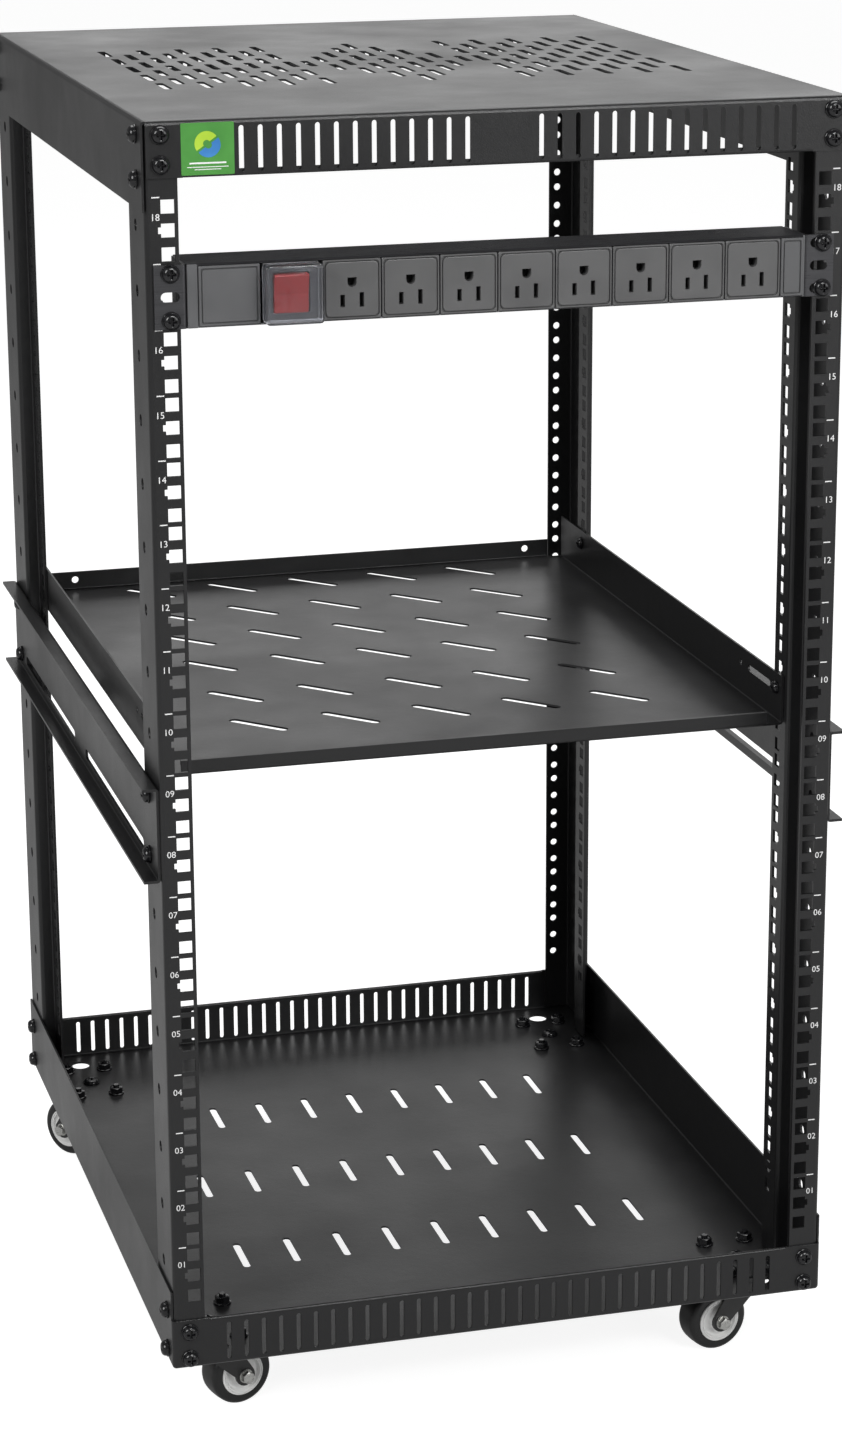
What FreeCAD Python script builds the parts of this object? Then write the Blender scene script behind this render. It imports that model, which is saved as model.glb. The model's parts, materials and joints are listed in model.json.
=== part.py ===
"""Eighteen-unit four post open frame rack on swivel casters, with a vented
shelf on two side rails and a horizontal power strip. Millimetres, +Z up.

Frame: the front of the rack faces -Y, +X is to the right, and the origin is
on the floor under the middle of the rack.
"""
import FreeCAD, Part
import math
import os

Vec = FreeCAD.Vector
os.makedirs("parts", exist_ok=True)

# ---- driving dimensions ----
UNIT = 44.45                  # one rack unit
UNITS = 18
HOLE_COLUMN = 465.1 / 2       # half the distance between the two hole columns
HOLE_RISE = (6.35, 22.225, 38.1)   # hole centres above the bottom of a unit
SQUARE_HOLE = 9.5
PIN_SIDES = 12                # flats on bars, pins and round holes that carry no joint
FRAME_WIDTH = 500.0
FRAME_DEPTH = 630.0
FRAME_HEIGHT = 901.0
CASTER_HEIGHT = 67.5
PAN_SHEET = 1.5               # top cover, base tray, shelf
POST_SHEET = 2.0
RAIL_SHEET = 2.0

# ---- derived places ----
BASE_Z = CASTER_HEIGHT                        # underside of the base tray
TOP_Z = BASE_Z + FRAME_HEIGHT                 # top of the cover
UNIT_Z = BASE_Z + (FRAME_HEIGHT - UNITS * UNIT) / 2    # bottom of unit 1
POST_FRONT = -FRAME_DEPTH / 2 + PAN_SHEET     # front face of the front posts
PDU_FRONT = POST_FRONT - 2.0                  # front of the power strip
BEZEL_Y = PDU_FRONT - 0.8                     # front of its switch
COVER_DEPTH = 13.0                            # how far the switch's clear cover stands out
ORIGIN_SHIFT = (COVER_DEPTH - BEZEL_Y - FRAME_DEPTH / 2) / 2   # puts the origin under the middle

# ---- pans (the cover and the tray are one pressing, used twice) ----
FOLD_BEVEL = 2.0              # flat that stands for each 3 mm fold
LIP_HEIGHT = 38.0             # front and rear flanges
SIDE_HEIGHT = 60.0            # side flanges
HEM_HALF = 222.0              # folded edge between the posts
HEM_HEIGHT = 4.5
SLOT_PITCH = 13.0
SLOT_COUNT = 33
SLOT_SIZE = (3.4, 30.0)
BARE_SLOTS = (-1, 0, 1)       # slots left out round the middle of a front lip

# ---- posts ----
POST_OUTER = FRAME_WIDTH / 2 - PAN_SHEET - 0.2
POST_INNER = 225.5            # inner edge of the drilled flange
POST_GAP = 1.3                # keeps the ends clear of the pans' folds
WEB_DEPTH = 58.0
STRIP_OUTER = 237.0
STRIP_END = 83.5
STRIP_HOLE_Y = 74.3
WEB_HOLE_Y = 32.5
WEB_HOLE = 8.5
REAR_HOLE = 6.0
DRILLED_UNITS = (1, 18)        # units whose side and rear holes are drilled here


def box(x0, x1, y0, y1, z0, z1):
    """Box between two corners, whichever way round they are given."""
    low = Vec(min(x0, x1), min(y0, y1), min(z0, z1))
    return Part.makeBox(abs(x1 - x0), abs(y1 - y0), abs(z1 - z0), low)


def prism(points, z0, z1):
    """Upright prism over a closed outline of (x, y) points."""
    corners = [Vec(x, y, z0) for x, y in points]
    wire = Part.makePolygon(corners + [corners[0]])
    return Part.Face(wire).extrude(Vec(0, 0, z1 - z0))


def polygon_bar(sides, radius, x, y, z0, z1):
    """Upright prism with equal sides; radius reaches its corners."""
    turn = 2 * math.pi / sides
    points = [(x + radius * math.cos(turn * (k + 0.5)), y + radius * math.sin(turn * (k + 0.5)))
              for k in range(sides)]
    return prism(points, z0, z1)


def cylinder(radius, start, end):
    """Cylinder from one point to another."""
    axis = end - start
    return Part.makeCylinder(radius, axis.Length, start, axis)


def mirror_x(shape):
    return shape.mirror(Vec(0, 0, 0), Vec(1, 0, 0))


def mirror_y(shape):
    return shape.mirror(Vec(0, 0, 0), Vec(0, 1, 0))


def save(name, shape):
    """Write one node, moved so that the origin is under the middle of the whole."""
    shape.translated(Vec(0, ORIGIN_SHIFT, 0)).exportStep("parts/%s.step" % name)


def fuse(shapes):
    result = shapes[0].multiFuse(shapes[1:]) if len(shapes) > 1 else shapes[0]
    return result.removeSplitter()


def cut(shape, tools):
    return shape.cut(Part.makeCompound(tools)) if tools else shape


# ---- top cover and base tray ----

def folded_block(half_w, half_d, low, high, bevel):
    """Block whose upright edges and bottom edges are bevelled."""
    block = box(-half_w, half_w, -half_d, half_d, low, high)
    edges = [e for e in block.Edges if e.BoundBox.ZMin < high - 0.01]
    return block.makeChamfer(bevel, edges)


def pan(bare_slots, slotted_sides):
    """Folded tray with its plate at z = 0 and its flanges standing up."""
    half_w = FRAME_WIDTH / 2
    half_d = FRAME_DEPTH / 2
    t = PAN_SHEET
    shape = folded_block(half_w, half_d, 0, SIDE_HEIGHT, FOLD_BEVEL)
    shape = shape.cut(folded_block(half_w - t, half_d - t, t, SIDE_HEIGHT + 1, FOLD_BEVEL - 0.59 * t))
    reach = half_w - FOLD_BEVEL
    shape = cut(shape, [box(-reach, reach, s * (half_d + 1), s * (half_d - 5), LIP_HEIGHT, SIDE_HEIGHT + 1)
                        for s in (-1, 1)])
    hems = [box(-HEM_HALF, HEM_HALF, s * (half_d - t), s * (half_d - 2 * t),
                LIP_HEIGHT - HEM_HEIGHT, LIP_HEIGHT) for s in (-1, 1)]
    shape = fuse([shape] + hems)
    cuts = []
    half_slot = SLOT_SIZE[0] / 2
    z_mid = LIP_HEIGHT / 2 - 0.4
    for index in range(SLOT_COUNT):
        place = index - SLOT_COUNT // 2
        for side in slotted_sides:
            if side < 0 and place in bare_slots:
                continue
            x = place * SLOT_PITCH
            cuts.append(box(x - half_slot, x + half_slot, side * (half_d + 1), side * (half_d - 4),
                            z_mid - SLOT_SIZE[1] / 2, z_mid + SLOT_SIZE[1] / 2))
    return cut(shape, cuts)


VENT_PITCH = (15.0, 57.6)
VENT_SLOT = (6.0, 38.0)


def vent_places():
    """Centres of the slots in the top plate: two five-row fields and a diamond."""
    places = []
    for centre in (-134.0, 134.0):
        for column in range(9):
            count = 5 - column % 2
            for row in range(count):
                places.append((centre + (column - 4) * VENT_PITCH[0],
                               (row - (count - 1) / 2) * VENT_PITCH[1]))
    for column in range(9):
        count = 5 - abs(column - 4)
        for row in range(count):
            places.append(((column - 4) * VENT_PITCH[0], (row - (count - 1) / 2) * VENT_PITCH[1]))
    return places


def top_cover():
    shape = pan(BARE_SLOTS, (-1,)).mirror(Vec(0, 0, 0), Vec(0, 0, 1))
    half_x, half_y = VENT_SLOT[0] / 2, VENT_SLOT[1] / 2
    cuts = [box(x - half_x, x + half_x, y - half_y, y + half_y, -PAN_SHEET - 1, 1)
            for x, y in vent_places()]
    return cut(shape, cuts).translated(Vec(0, 0, TOP_Z))


FLOOR_SLOT = (6.0, 45.0)
FLOOR_PITCH = (40.0, 138.0)
FLOOR_COLUMNS = 9
PLATE_HOLE = (211.0, 289.0)
PLATE_HOLE_R = 8.0


def floor_slots():
    """Three rows of slots that run front to back."""
    tools = []
    half_x, half_y = FLOOR_SLOT[0] / 2, FLOOR_SLOT[1] / 2
    for row in (-1, 0, 1):
        for column in range(FLOOR_COLUMNS):
            x = (column - FLOOR_COLUMNS // 2) * FLOOR_PITCH[0]
            y = row * FLOOR_PITCH[1]
            tools.append(box(x - half_x, x + half_x, y - half_y, y + half_y, -1, 3))
    return tools


def base_tray():
    shape = pan((), (-1,))
    cuts = floor_slots()
    for sx in (-1, 1):
        for sy in (-1, 1):
            cuts.append(polygon_bar(PIN_SIDES, PLATE_HOLE_R, sx * PLATE_HOLE[0], sy * PLATE_HOLE[1], -1, 3))
    return cut(shape, cuts).translated(Vec(0, 0, BASE_Z))


save("top_cover", top_cover())
save("base_tray", base_tray())


# ---- posts ----

def post_profile():
    """Outline of the front right post, seen from above."""
    t = POST_SHEET
    y = POST_FRONT
    b = FOLD_BEVEL
    return [(POST_INNER, y), (POST_OUTER - b, y), (POST_OUTER, y + b),
            (POST_OUTER, y + WEB_DEPTH - b), (POST_OUTER - b, y + WEB_DEPTH),
            (STRIP_OUTER, y + WEB_DEPTH), (STRIP_OUTER, y + STRIP_END),
            (STRIP_OUTER - t, y + STRIP_END), (STRIP_OUTER - t, y + WEB_DEPTH - t),
            (POST_OUTER - t, y + WEB_DEPTH - t), (POST_OUTER - t, y + t), (POST_INNER, y + t)]


def unit_holes():
    """Heights of the three holes in each unit."""
    return [UNIT_Z + unit * UNIT + rise for unit in range(UNITS) for rise in HOLE_RISE]


def post(flange_holes):
    """Front right post; flange_holes says whether its face has the square holes."""
    shape = prism(post_profile(), BASE_Z + PAN_SHEET + POST_GAP, TOP_Z - PAN_SHEET - POST_GAP)
    half = SQUARE_HOLE / 2
    cuts = []
    strip_y = POST_FRONT + STRIP_HOLE_Y
    for index, z in enumerate(unit_holes()):
        if index // len(HOLE_RISE) + 1 in DRILLED_UNITS:
            cuts.append(box(STRIP_OUTER - 4, STRIP_OUTER + 2, strip_y - half, strip_y + half,
                            z - half, z + half))
        if flange_holes:
            cuts.append(box(HOLE_COLUMN - half, HOLE_COLUMN + half, POST_FRONT - 2, POST_FRONT + 4,
                            z - half, z + half))
    if not flange_holes:
        for unit in DRILLED_UNITS:
            for rise in (HOLE_RISE[0], HOLE_RISE[2]):
                z = UNIT_Z + (unit - 1) * UNIT + rise
                cuts.append(cylinder(REAR_HOLE / 2, Vec(HOLE_COLUMN, POST_FRONT - 2, z),
                                     Vec(HOLE_COLUMN, POST_FRONT + 4, z)))
    return cut(shape, cuts)


front_post = post(True)
rear_post = mirror_y(post(False))
save("post_front_right", front_post)
save("post_front_left", mirror_x(front_post))
save("post_rear_right", rear_post)
save("post_rear_left", mirror_x(rear_post))

# ---- shelf and its rails ----
SHELF_HALF = STRIP_OUTER - POST_SHEET - 0.3
SHELF_FRONT = POST_FRONT + 60.0
SHELF_REAR = -POST_FRONT - 14.0
SHELF_Z = UNIT_Z + 380.5
SHELF_WALL = 37.0
SHELF_LIP = 11.0
SHELF_SLOT = (8.0, 50.0)


def shelf():
    t = PAN_SHEET
    x = SHELF_HALF
    z = SHELF_Z
    lip_half = 221.0
    floor = box(-x, x, SHELF_FRONT, SHELF_REAR, z, z + t)
    walls = [box(s * x, s * (x - t), SHELF_FRONT, SHELF_REAR, z, z + SHELF_WALL) for s in (-1, 1)]
    lips = [box(-lip_half, lip_half, SHELF_REAR, SHELF_REAR - t, z, z + SHELF_LIP),
            box(-x, x, SHELF_FRONT, SHELF_FRONT + t, z, z + SHELF_LIP)]
    shape = fuse([floor] + walls + lips)
    cuts = []
    for y in SHELF_ROWS:
        for column in range(-2, 3):
            slot = box(-SHELF_SLOT[0] / 2, SHELF_SLOT[0] / 2, -SHELF_SLOT[1] / 2, SHELF_SLOT[1] / 2, -1, 3)
            slot.rotate(Vec(0, 0, 0), Vec(0, 0, 1), 45)
            slot.translate(Vec(column * 70.4, y, z))
            cuts.append(slot)
    return cut(shape, cuts)


SHELF_ROWS = [POST_FRONT + y for y in (166, 246, 338, 418, 499, 580)]
save("shelf_tray", shelf())

RAIL_Z = (UNIT_Z + 321.0, UNIT_Z + 390.0)
RAIL_FRONT = POST_FRONT + 4.0
RAIL_FLANGE = 12.0


def rail():
    """Right rail: a channel with its flanges turned outward."""
    t = RAIL_SHEET
    x = POST_OUTER
    z0, z1 = RAIL_Z
    web = box(x, x + t, RAIL_FRONT, -RAIL_FRONT, z0, z1)
    flanges = [box(x, x + RAIL_FLANGE, RAIL_FRONT, -RAIL_FRONT, a, b) for a, b in ((z0, z0 + t), (z1 - t, z1))]
    shape = fuse([web] + flanges)
    cuts = []
    for z in (z0 + 14, z1 - 15):
        for y0, y1 in ((60, 285), (342, 567)):
            cuts.append(box(x - 1, x + 3, POST_FRONT + y0, POST_FRONT + y1, z - 2.5, z + 2.5))
    return cut(shape, cuts)


right_rail = rail()
save("shelf_rail_right", right_rail)
save("shelf_rail_left", mirror_x(right_rail))

# ---- power strip in unit 17 ----
PDU_X = -2.2
PDU_Z = UNIT_Z + 16 * UNIT + 0.4
PDU_HEIGHT = 43.6
PDU_HALF = 219.0
PDU_DEPTH = 46.0
EAR_HALF = 241.3
EAR_SLOT_X = 230.4
EAR_SLOT = (15.0, 6.8)
FACE_Z = (PDU_Z + 1.2, PDU_Z + PDU_HEIGHT - 1.8)
OUTLET_PITCH = 41.0
OUTLET_START = PDU_X - 126.0
OUTLETS = 8
# ground slot and two blade slots: middle, half width, foot and top
SOCKET_SLOTS = ((0.0, 3.2, 1.4, 7.8), (-6.7, 1.5, -12.0, -3.6), (6.7, 1.5, -12.4, -2.4))
SWITCH_X = (PDU_X - 166.8, PDU_X - 128.8)
LABEL_X = (PDU_X - 211.0, PDU_X - 169.0)


def pdu_housing():
    """Extruded channel, open to the front, with a ribbed top and bottom."""
    y0, y1 = PDU_FRONT, PDU_FRONT + PDU_DEPTH
    z0, z1 = PDU_Z, PDU_Z + PDU_HEIGHT
    outer = box(PDU_X - PDU_HALF, PDU_X + PDU_HALF, y0, y1, z0, z1)
    inner = box(PDU_X - PDU_HALF - 1, PDU_X + PDU_HALF + 1, y0 - 1, y1 - 1.5, z0 + 1.2, z1 - 1.2)
    return outer.cut(inner)


def pdu_ear(side):
    """Bent bracket: the drilled face and a leg along the housing's end."""
    inner = PDU_X + side * PDU_HALF
    outer = PDU_X + side * EAR_HALF
    z0, z1 = PDU_Z, PDU_Z + PDU_HEIGHT
    face = box(inner + side * 0.2, outer, PDU_FRONT, POST_FRONT, z0, z1)
    leg = box(inner + side * 0.2, inner + side * 2.2, PDU_FRONT, PDU_FRONT + 40, z0, z1)
    shape = fuse([face, leg])
    middle = PDU_X + side * EAR_SLOT_X
    half_l, half_h = EAR_SLOT[0] / 2, EAR_SLOT[1] / 2
    cuts = [box(middle - half_l, middle + half_l, PDU_FRONT - 1, POST_FRONT + 1,
                PDU_Z - 0.4 + rise - half_h, PDU_Z - 0.4 + rise + half_h) for rise in HOLE_RISE]
    return cut(shape, cuts)


def outlet(index):
    """Square socket module with a ground hole over two blade slots."""
    x0 = OUTLET_START + index * OUTLET_PITCH + 0.4
    x1 = x0 + OUTLET_PITCH - 0.8
    xm = (x0 + x1) / 2
    zm = sum(FACE_Z) / 2
    body = box(x0, x1, PDU_FRONT - 0.8, PDU_FRONT + 24, FACE_Z[0], FACE_Z[1])
    slots = [box(xm + x - half, xm + x + half, PDU_FRONT - 2, PDU_FRONT + 16, zm + low, zm + high)
             for x, half, low, high in SOCKET_SLOTS]
    return cut(body, slots)


save("pdu_housing", pdu_housing())
save("pdu_ear_left", pdu_ear(-1))
save("pdu_ear_right", pdu_ear(1))
for number in range(OUTLETS):
    save("pdu_outlet_%d" % (number + 1), outlet(number))

FACE_Y = PDU_FRONT - 0.4
save("pdu_label_plate", box(LABEL_X[0], LABEL_X[1], FACE_Y, PDU_FRONT + 12, FACE_Z[0], FACE_Z[1]))
save("pdu_end_plate", box(OUTLET_START + OUTLETS * OUTLET_PITCH + 0.4, PDU_X + PDU_HALF - 0.3, FACE_Y,
                          PDU_FRONT + 12, FACE_Z[0], FACE_Z[1]))

# switch: a bezel, a rocker on a cross pin and a clear cover hinged along the top
ROCKER_X = (SWITCH_X[0] + 7.0, SWITCH_X[1] - 7.0)
ROCKER_Z = (FACE_Z[0] + 6.3, FACE_Z[1] - 6.3)
ROCKER_PIVOT = Vec((ROCKER_X[0] + ROCKER_X[1]) / 2, PDU_FRONT + 6.0, sum(ROCKER_Z) / 2)
ROCKER_TILT = 7.0
ROCKER_GAP = 0.7
STUB_R = 1.5
STUB_REACH = 2.0
COVER_WALL = 1.4
COVER_OVERHANG = 1.2
KNUCKLE_R = 2.2
HINGE = Vec(0, BEZEL_Y - KNUCKLE_R - 1.2, FACE_Z[1] - KNUCKLE_R)
HINGE_PIN = 1.0
HINGE_GAP = 0.06
LUG = (0.8, 2.6)


def cross_bar(radius, start, end, axis):
    """Bar with PIN_SIDES flats that runs from left to right through a point."""
    bar = polygon_bar(PIN_SIDES, radius, 0, 0, min(start, end), max(start, end))
    bar.rotate(Vec(0, 0, 0), Vec(0, 1, 0), 90)
    bar.translate(Vec(0, axis.y, axis.z))
    return bar


def switch_bezel():
    """Module body with a well, two stubs that carry the rocker and two hinge lugs."""
    body = box(SWITCH_X[0], SWITCH_X[1], BEZEL_Y, PDU_FRONT + 24, FACE_Z[0], FACE_Z[1])
    well = box(ROCKER_X[0] - ROCKER_GAP, ROCKER_X[1] + ROCKER_GAP, BEZEL_Y - 1, PDU_FRONT + 18,
               ROCKER_Z[0] - ROCKER_GAP - 0.8, ROCKER_Z[1] + ROCKER_GAP + 0.8)
    parts = [body.cut(well)]
    for edge, key, inward in ((SWITCH_X[0], ROCKER_X[0], 1), (SWITCH_X[1], ROCKER_X[1], -1)):
        parts.append(cross_bar(STUB_R, key - inward * 2, key + inward * STUB_REACH, ROCKER_PIVOT))
        x0, x1 = edge + inward * LUG[0], edge + inward * LUG[1]
        parts.append(box(x0, x1, HINGE.y - 1.6, BEZEL_Y, HINGE.z - 1.6, HINGE.z + 1.6))
        parts.append(cross_bar(HINGE_PIN, x0, x1 + inward * 3.0, HINGE))
    return fuse(parts)


def switch_rocker():
    """Rocker in side view: a shallow V in front of a hub, resting on one side."""
    z0, z1 = ROCKER_Z
    zm = ROCKER_PIVOT.z
    front = BEZEL_Y - 1.6
    outline = [(front - 0.6, z0), (front + 1.0, zm), (front - 0.6, z1), (front + 4.5, z1),
               (ROCKER_PIVOT.y + 3.5, zm + 4.0), (ROCKER_PIVOT.y + 3.5, zm - 4.0), (front + 4.5, z0)]
    corners = [Vec(ROCKER_X[0], y, z) for y, z in outline]
    face = Part.Face(Part.makePolygon(corners + [corners[0]]))
    body = face.extrude(Vec(ROCKER_X[1] - ROCKER_X[0], 0, 0))
    bores = [cylinder(STUB_R + HINGE_GAP, Vec(key - inward, ROCKER_PIVOT.y, zm),
                      Vec(key + inward * (STUB_REACH + 1), ROCKER_PIVOT.y, zm))
             for key, inward in ((ROCKER_X[0], 1), (ROCKER_X[1], -1))]
    rocker = cut(body, bores)
    rocker.rotate(ROCKER_PIVOT, Vec(1, 0, 0), ROCKER_TILT)
    return rocker


def switch_cover():
    """Clear box, open to the rear, that hangs from a round knuckle along its top."""
    x0, x1 = SWITCH_X[0] - COVER_OVERHANG, SWITCH_X[1] + COVER_OVERHANG
    y0, y1 = BEZEL_Y - COVER_DEPTH, BEZEL_Y - 1.2
    z0, z1 = FACE_Z[0] + 0.2, HINGE.z + KNUCKLE_R
    w = COVER_WALL
    outer = box(x0, x1, y0, y1, z0, z1)
    front_edges = [e for e in outer.Edges if abs(e.BoundBox.YMin - y0) < 0.01 and e.BoundBox.YLength < 0.01]
    outer = outer.makeChamfer(1.2, front_edges)
    shell = outer.cut(box(x0 + w, x1 - w, y0 + w, y1 + 1, z0 + w, z1 - w))
    shell = shell.cut(box(x0 - 1, x1 + 1, HINGE.y, y1 + 1, HINGE.z, z1 + 1))
    in0, in1 = SWITCH_X[0] + LUG[1] + 0.3, SWITCH_X[1] - LUG[1] - 0.3
    knuckle = cross_bar(KNUCKLE_R, in0, in1, HINGE)
    shell = shell.cut(box(in0 - 2.6, in0, HINGE.y - 2.8, y1 + 1, HINGE.z - 2.8, z1 + 1))
    shell = shell.cut(box(in1, in1 + 2.6, HINGE.y - 2.8, y1 + 1, HINGE.z - 2.8, z1 + 1))
    shape = fuse([shell, knuckle])
    bores = [cylinder(HINGE_PIN + HINGE_GAP, Vec(end - inward * 3, HINGE.y, HINGE.z),
                      Vec(end + inward * 4, HINGE.y, HINGE.z)) for end, inward in ((in0, 1), (in1, -1))]
    return cut(shape, bores)


save("switch_bezel", switch_bezel())
save("switch_rocker", switch_rocker())
save("switch_cover", switch_cover())

# ---- casters ----
TRAIL = 22.0
WHEEL_R = 25.0
TYRE_HALF = 11.0
RIM_R = 17.0
RIM_HALF = 12.0
HUB_R = 7.0
HUB_HALF = 12.7
HUB_BORE = 2.0
AXLE_R = 3.0
PIN_GAP = 0.05
FORK_HALF = 13.2
FORK_SHEET = 2.2
NUT_HEIGHT = 5.5
PLATE_HALF = (24.0, 37.0)
PLATE_SHEET = 2.5
RACE_Z = 58.6
FORK_TOP = 58.2
KING_R = 4.0
KING_FOOT = 53.0
WHEEL_SIDES = 12
# place, swivel x and y, direction in which the wheel trails (degrees from +X)
CASTERS = (("front_left", -209.0, -246.0, 17.0), ("front_right", 209.0, -246.0, 192.0),
           ("rear_left", -209.0, 246.0, 128.0), ("rear_right", 209.0, 246.0, 35.0))


def lathe(outline, sides):
    """Solid turned about the axle line from (radius, y) points, with flat facets; one facet is underneath."""
    turn = 2 * math.pi / sides
    stretch = 1 / math.cos(turn / 2)
    rings = []
    for k in range(sides):
        angle = turn * (k + 0.5) - math.pi / 2
        rings.append([Vec(TRAIL + r * stretch * math.cos(angle), y, WHEEL_R + r * stretch * math.sin(angle))
                      for r, y in outline])
    faces = []
    count = len(outline)
    for k in range(sides):
        here, there = rings[k], rings[(k + 1) % sides]
        for i in range(count):
            j = (i + 1) % count
            corners = [here[i], here[j], there[j], there[i], here[i]]
            faces.append(Part.Face(Part.makePolygon(corners)))
    solid = Part.makeSolid(Part.makeShell(faces))
    if solid.Volume < 0:
        solid.reverse()
    return solid


def caster_plate():
    """Fixed top: the mounting plate, the upper race and the king pin with its head."""
    plate = box(-PLATE_HALF[0], PLATE_HALF[0], -PLATE_HALF[1], PLATE_HALF[1], CASTER_HEIGHT - PLATE_SHEET,
                CASTER_HEIGHT)
    race = polygon_bar(WHEEL_SIDES, 19, 0, 0, RACE_Z, CASTER_HEIGHT - PLATE_SHEET)
    pin = polygon_bar(PIN_SIDES, KING_R, 0, 0, KING_FOOT, RACE_Z)
    head = polygon_bar(6, 6.5, 0, 0, KING_FOOT - 2.0, KING_FOOT)
    return fuse([plate, race, pin, head])


def caster_fork():
    """Pressed yoke: a round crown and two legs that carry the axle behind the king pin."""
    crown = polygon_bar(WHEEL_SIDES, 18.5, 0, 0, FORK_TOP - FORK_SHEET, FORK_TOP)
    outer = FORK_HALF + FORK_SHEET
    bridge = box(-12, 14, -outer, outer, FORK_TOP - FORK_SHEET, FORK_TOP)
    legs = []
    for side in (-1, 1):
        outline = [(-12.0, FORK_TOP - FORK_SHEET), (14.0, FORK_TOP - FORK_SHEET),
                   (TRAIL + 7.5, WHEEL_R + 4.0), (TRAIL + 7.5, WHEEL_R - 3.0), (TRAIL + 4.0, WHEEL_R - 7.5),
                   (TRAIL - 3.5, WHEEL_R - 7.5), (TRAIL - 8.0, WHEEL_R - 2.0)]
        corners = [Vec(x, side * FORK_HALF, z) for x, z in outline]
        face = Part.Face(Part.makePolygon(corners + [corners[0]]))
        legs.append(face.extrude(Vec(0, side * FORK_SHEET, 0)))
    shape = fuse([crown, bridge] + legs)
    king_hole = Part.makeCylinder(KING_R + PIN_GAP, 10, Vec(0, 0, FORK_TOP - 5))
    return cut(shape, [king_hole, axle_bar(FORK_HALF + 4)])


def axle_bar(half):
    """Axle shaft as a twelve-sided bar."""
    bar = polygon_bar(PIN_SIDES, AXLE_R, 0, 0, -half, half)
    bar.rotate(Vec(0, 0, 0), Vec(1, 0, 0), 90)
    bar.translate(Vec(TRAIL, 0, WHEEL_R))
    return bar


def hexagon(across, y0, y1):
    """Hexagonal head or nut on the axle line."""
    radius = across / math.sqrt(3)
    points = [Vec(TRAIL + radius * math.cos(math.radians(60 * k)), y0,
                  WHEEL_R + radius * math.sin(math.radians(60 * k))) for k in range(6)]
    return Part.Face(Part.makePolygon(points + [points[0]])).extrude(Vec(0, y1 - y0, 0))


def caster_axle():
    side = FORK_HALF + FORK_SHEET
    return fuse([axle_bar(side + 1), hexagon(10, -side - NUT_HEIGHT, -side), hexagon(10, side, side + NUT_HEIGHT)])


def caster_rim():
    """Dished wheel centre with a hub, bored for the axle."""
    half = [(HUB_BORE, HUB_HALF), (HUB_R, HUB_HALF), (HUB_R, 9.0), (14.0, 9.0), (15.0, RIM_HALF),
            (RIM_R, RIM_HALF)]
    outline = half + [(r, -y) for r, y in reversed(half)]
    bore = cylinder(AXLE_R + PIN_GAP, Vec(TRAIL, -20, WHEEL_R), Vec(TRAIL, 20, WHEEL_R))
    return lathe(outline, WHEEL_SIDES).cut(bore)


def caster_tyre():
    half = TYRE_HALF
    return lathe([(RIM_R, -half), (21.5, -half), (WHEEL_R, -half + 4.5), (WHEEL_R, half - 4.5), (21.5, half),
                  (RIM_R, half)], WHEEL_SIDES)


def place_caster(shape, x, y, heading):
    copy = shape.copy()
    copy.rotate(Vec(0, 0, 0), Vec(0, 0, 1), heading)
    copy.translate(Vec(x, y, 0))
    return copy


caster_pieces = {"fork": caster_fork(), "axle": caster_axle(), "rim": caster_rim(), "tyre": caster_tyre()}
for place, caster_x, caster_y, heading in CASTERS:
    save("caster_%s_plate" % place, place_caster(caster_plate(), caster_x, caster_y, 0))
    for piece, shape in caster_pieces.items():
        save("caster_%s_%s" % (place, piece), place_caster(shape, caster_x, caster_y, heading))
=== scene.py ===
"""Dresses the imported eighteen-unit open rack: folded sheet, powder coat, bolts, power strip and casters.

Shapes are worked out in millimetres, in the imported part's own frame, and put into meshes in metres.
A shape is a pair (points, faces): points is an (n, 3) array, faces a list of index arrays.
"""
import json
import bmesh
import bpy
import numpy as np
from mathutils import Matrix, Vector
from mathutils.geometry import delaunay_2d_cdt


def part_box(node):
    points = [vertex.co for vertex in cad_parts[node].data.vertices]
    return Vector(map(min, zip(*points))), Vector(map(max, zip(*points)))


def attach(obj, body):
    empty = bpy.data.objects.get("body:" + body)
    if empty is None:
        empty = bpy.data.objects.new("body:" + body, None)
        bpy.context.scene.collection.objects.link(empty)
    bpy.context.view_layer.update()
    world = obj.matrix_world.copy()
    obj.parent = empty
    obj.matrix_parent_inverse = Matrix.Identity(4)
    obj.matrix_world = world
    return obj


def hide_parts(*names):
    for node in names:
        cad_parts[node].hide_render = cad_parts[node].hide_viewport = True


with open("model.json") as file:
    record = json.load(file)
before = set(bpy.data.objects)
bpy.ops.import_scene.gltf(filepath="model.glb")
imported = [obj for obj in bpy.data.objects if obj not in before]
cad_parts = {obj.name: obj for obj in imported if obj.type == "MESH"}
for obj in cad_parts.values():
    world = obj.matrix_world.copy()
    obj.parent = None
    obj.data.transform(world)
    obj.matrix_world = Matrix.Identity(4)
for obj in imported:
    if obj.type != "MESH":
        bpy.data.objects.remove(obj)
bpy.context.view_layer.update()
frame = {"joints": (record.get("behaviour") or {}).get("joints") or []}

MM = 0.001
UNIT = 44.45
UNITS = 18
RISES = np.array([6.35, 22.225, 38.1])      # heights of the three holes in a unit
COLUMN = 465.1 / 2              # middle of the rack to the column of holes
NUB_WIDTH = 4.6


# ---- shapes ----

def corners(node):
    """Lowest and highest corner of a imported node, in millimetres."""
    low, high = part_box(node)
    return np.array(low) / MM, np.array(high) / MM


def surface(points, around=False):
    """Quads over a grid of points; around joins the last column to the first."""
    rows, columns = points.shape[:2]
    index = np.arange(rows * columns).reshape(rows, columns)
    if around:
        index = np.concatenate([index, index[:, :1]], 1)
    quads = np.stack([index[:-1, :-1], index[:-1, 1:], index[1:, 1:], index[1:, :-1]], -1)
    return points.reshape(-1, 3), [quads.reshape(-1, 4)]


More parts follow.
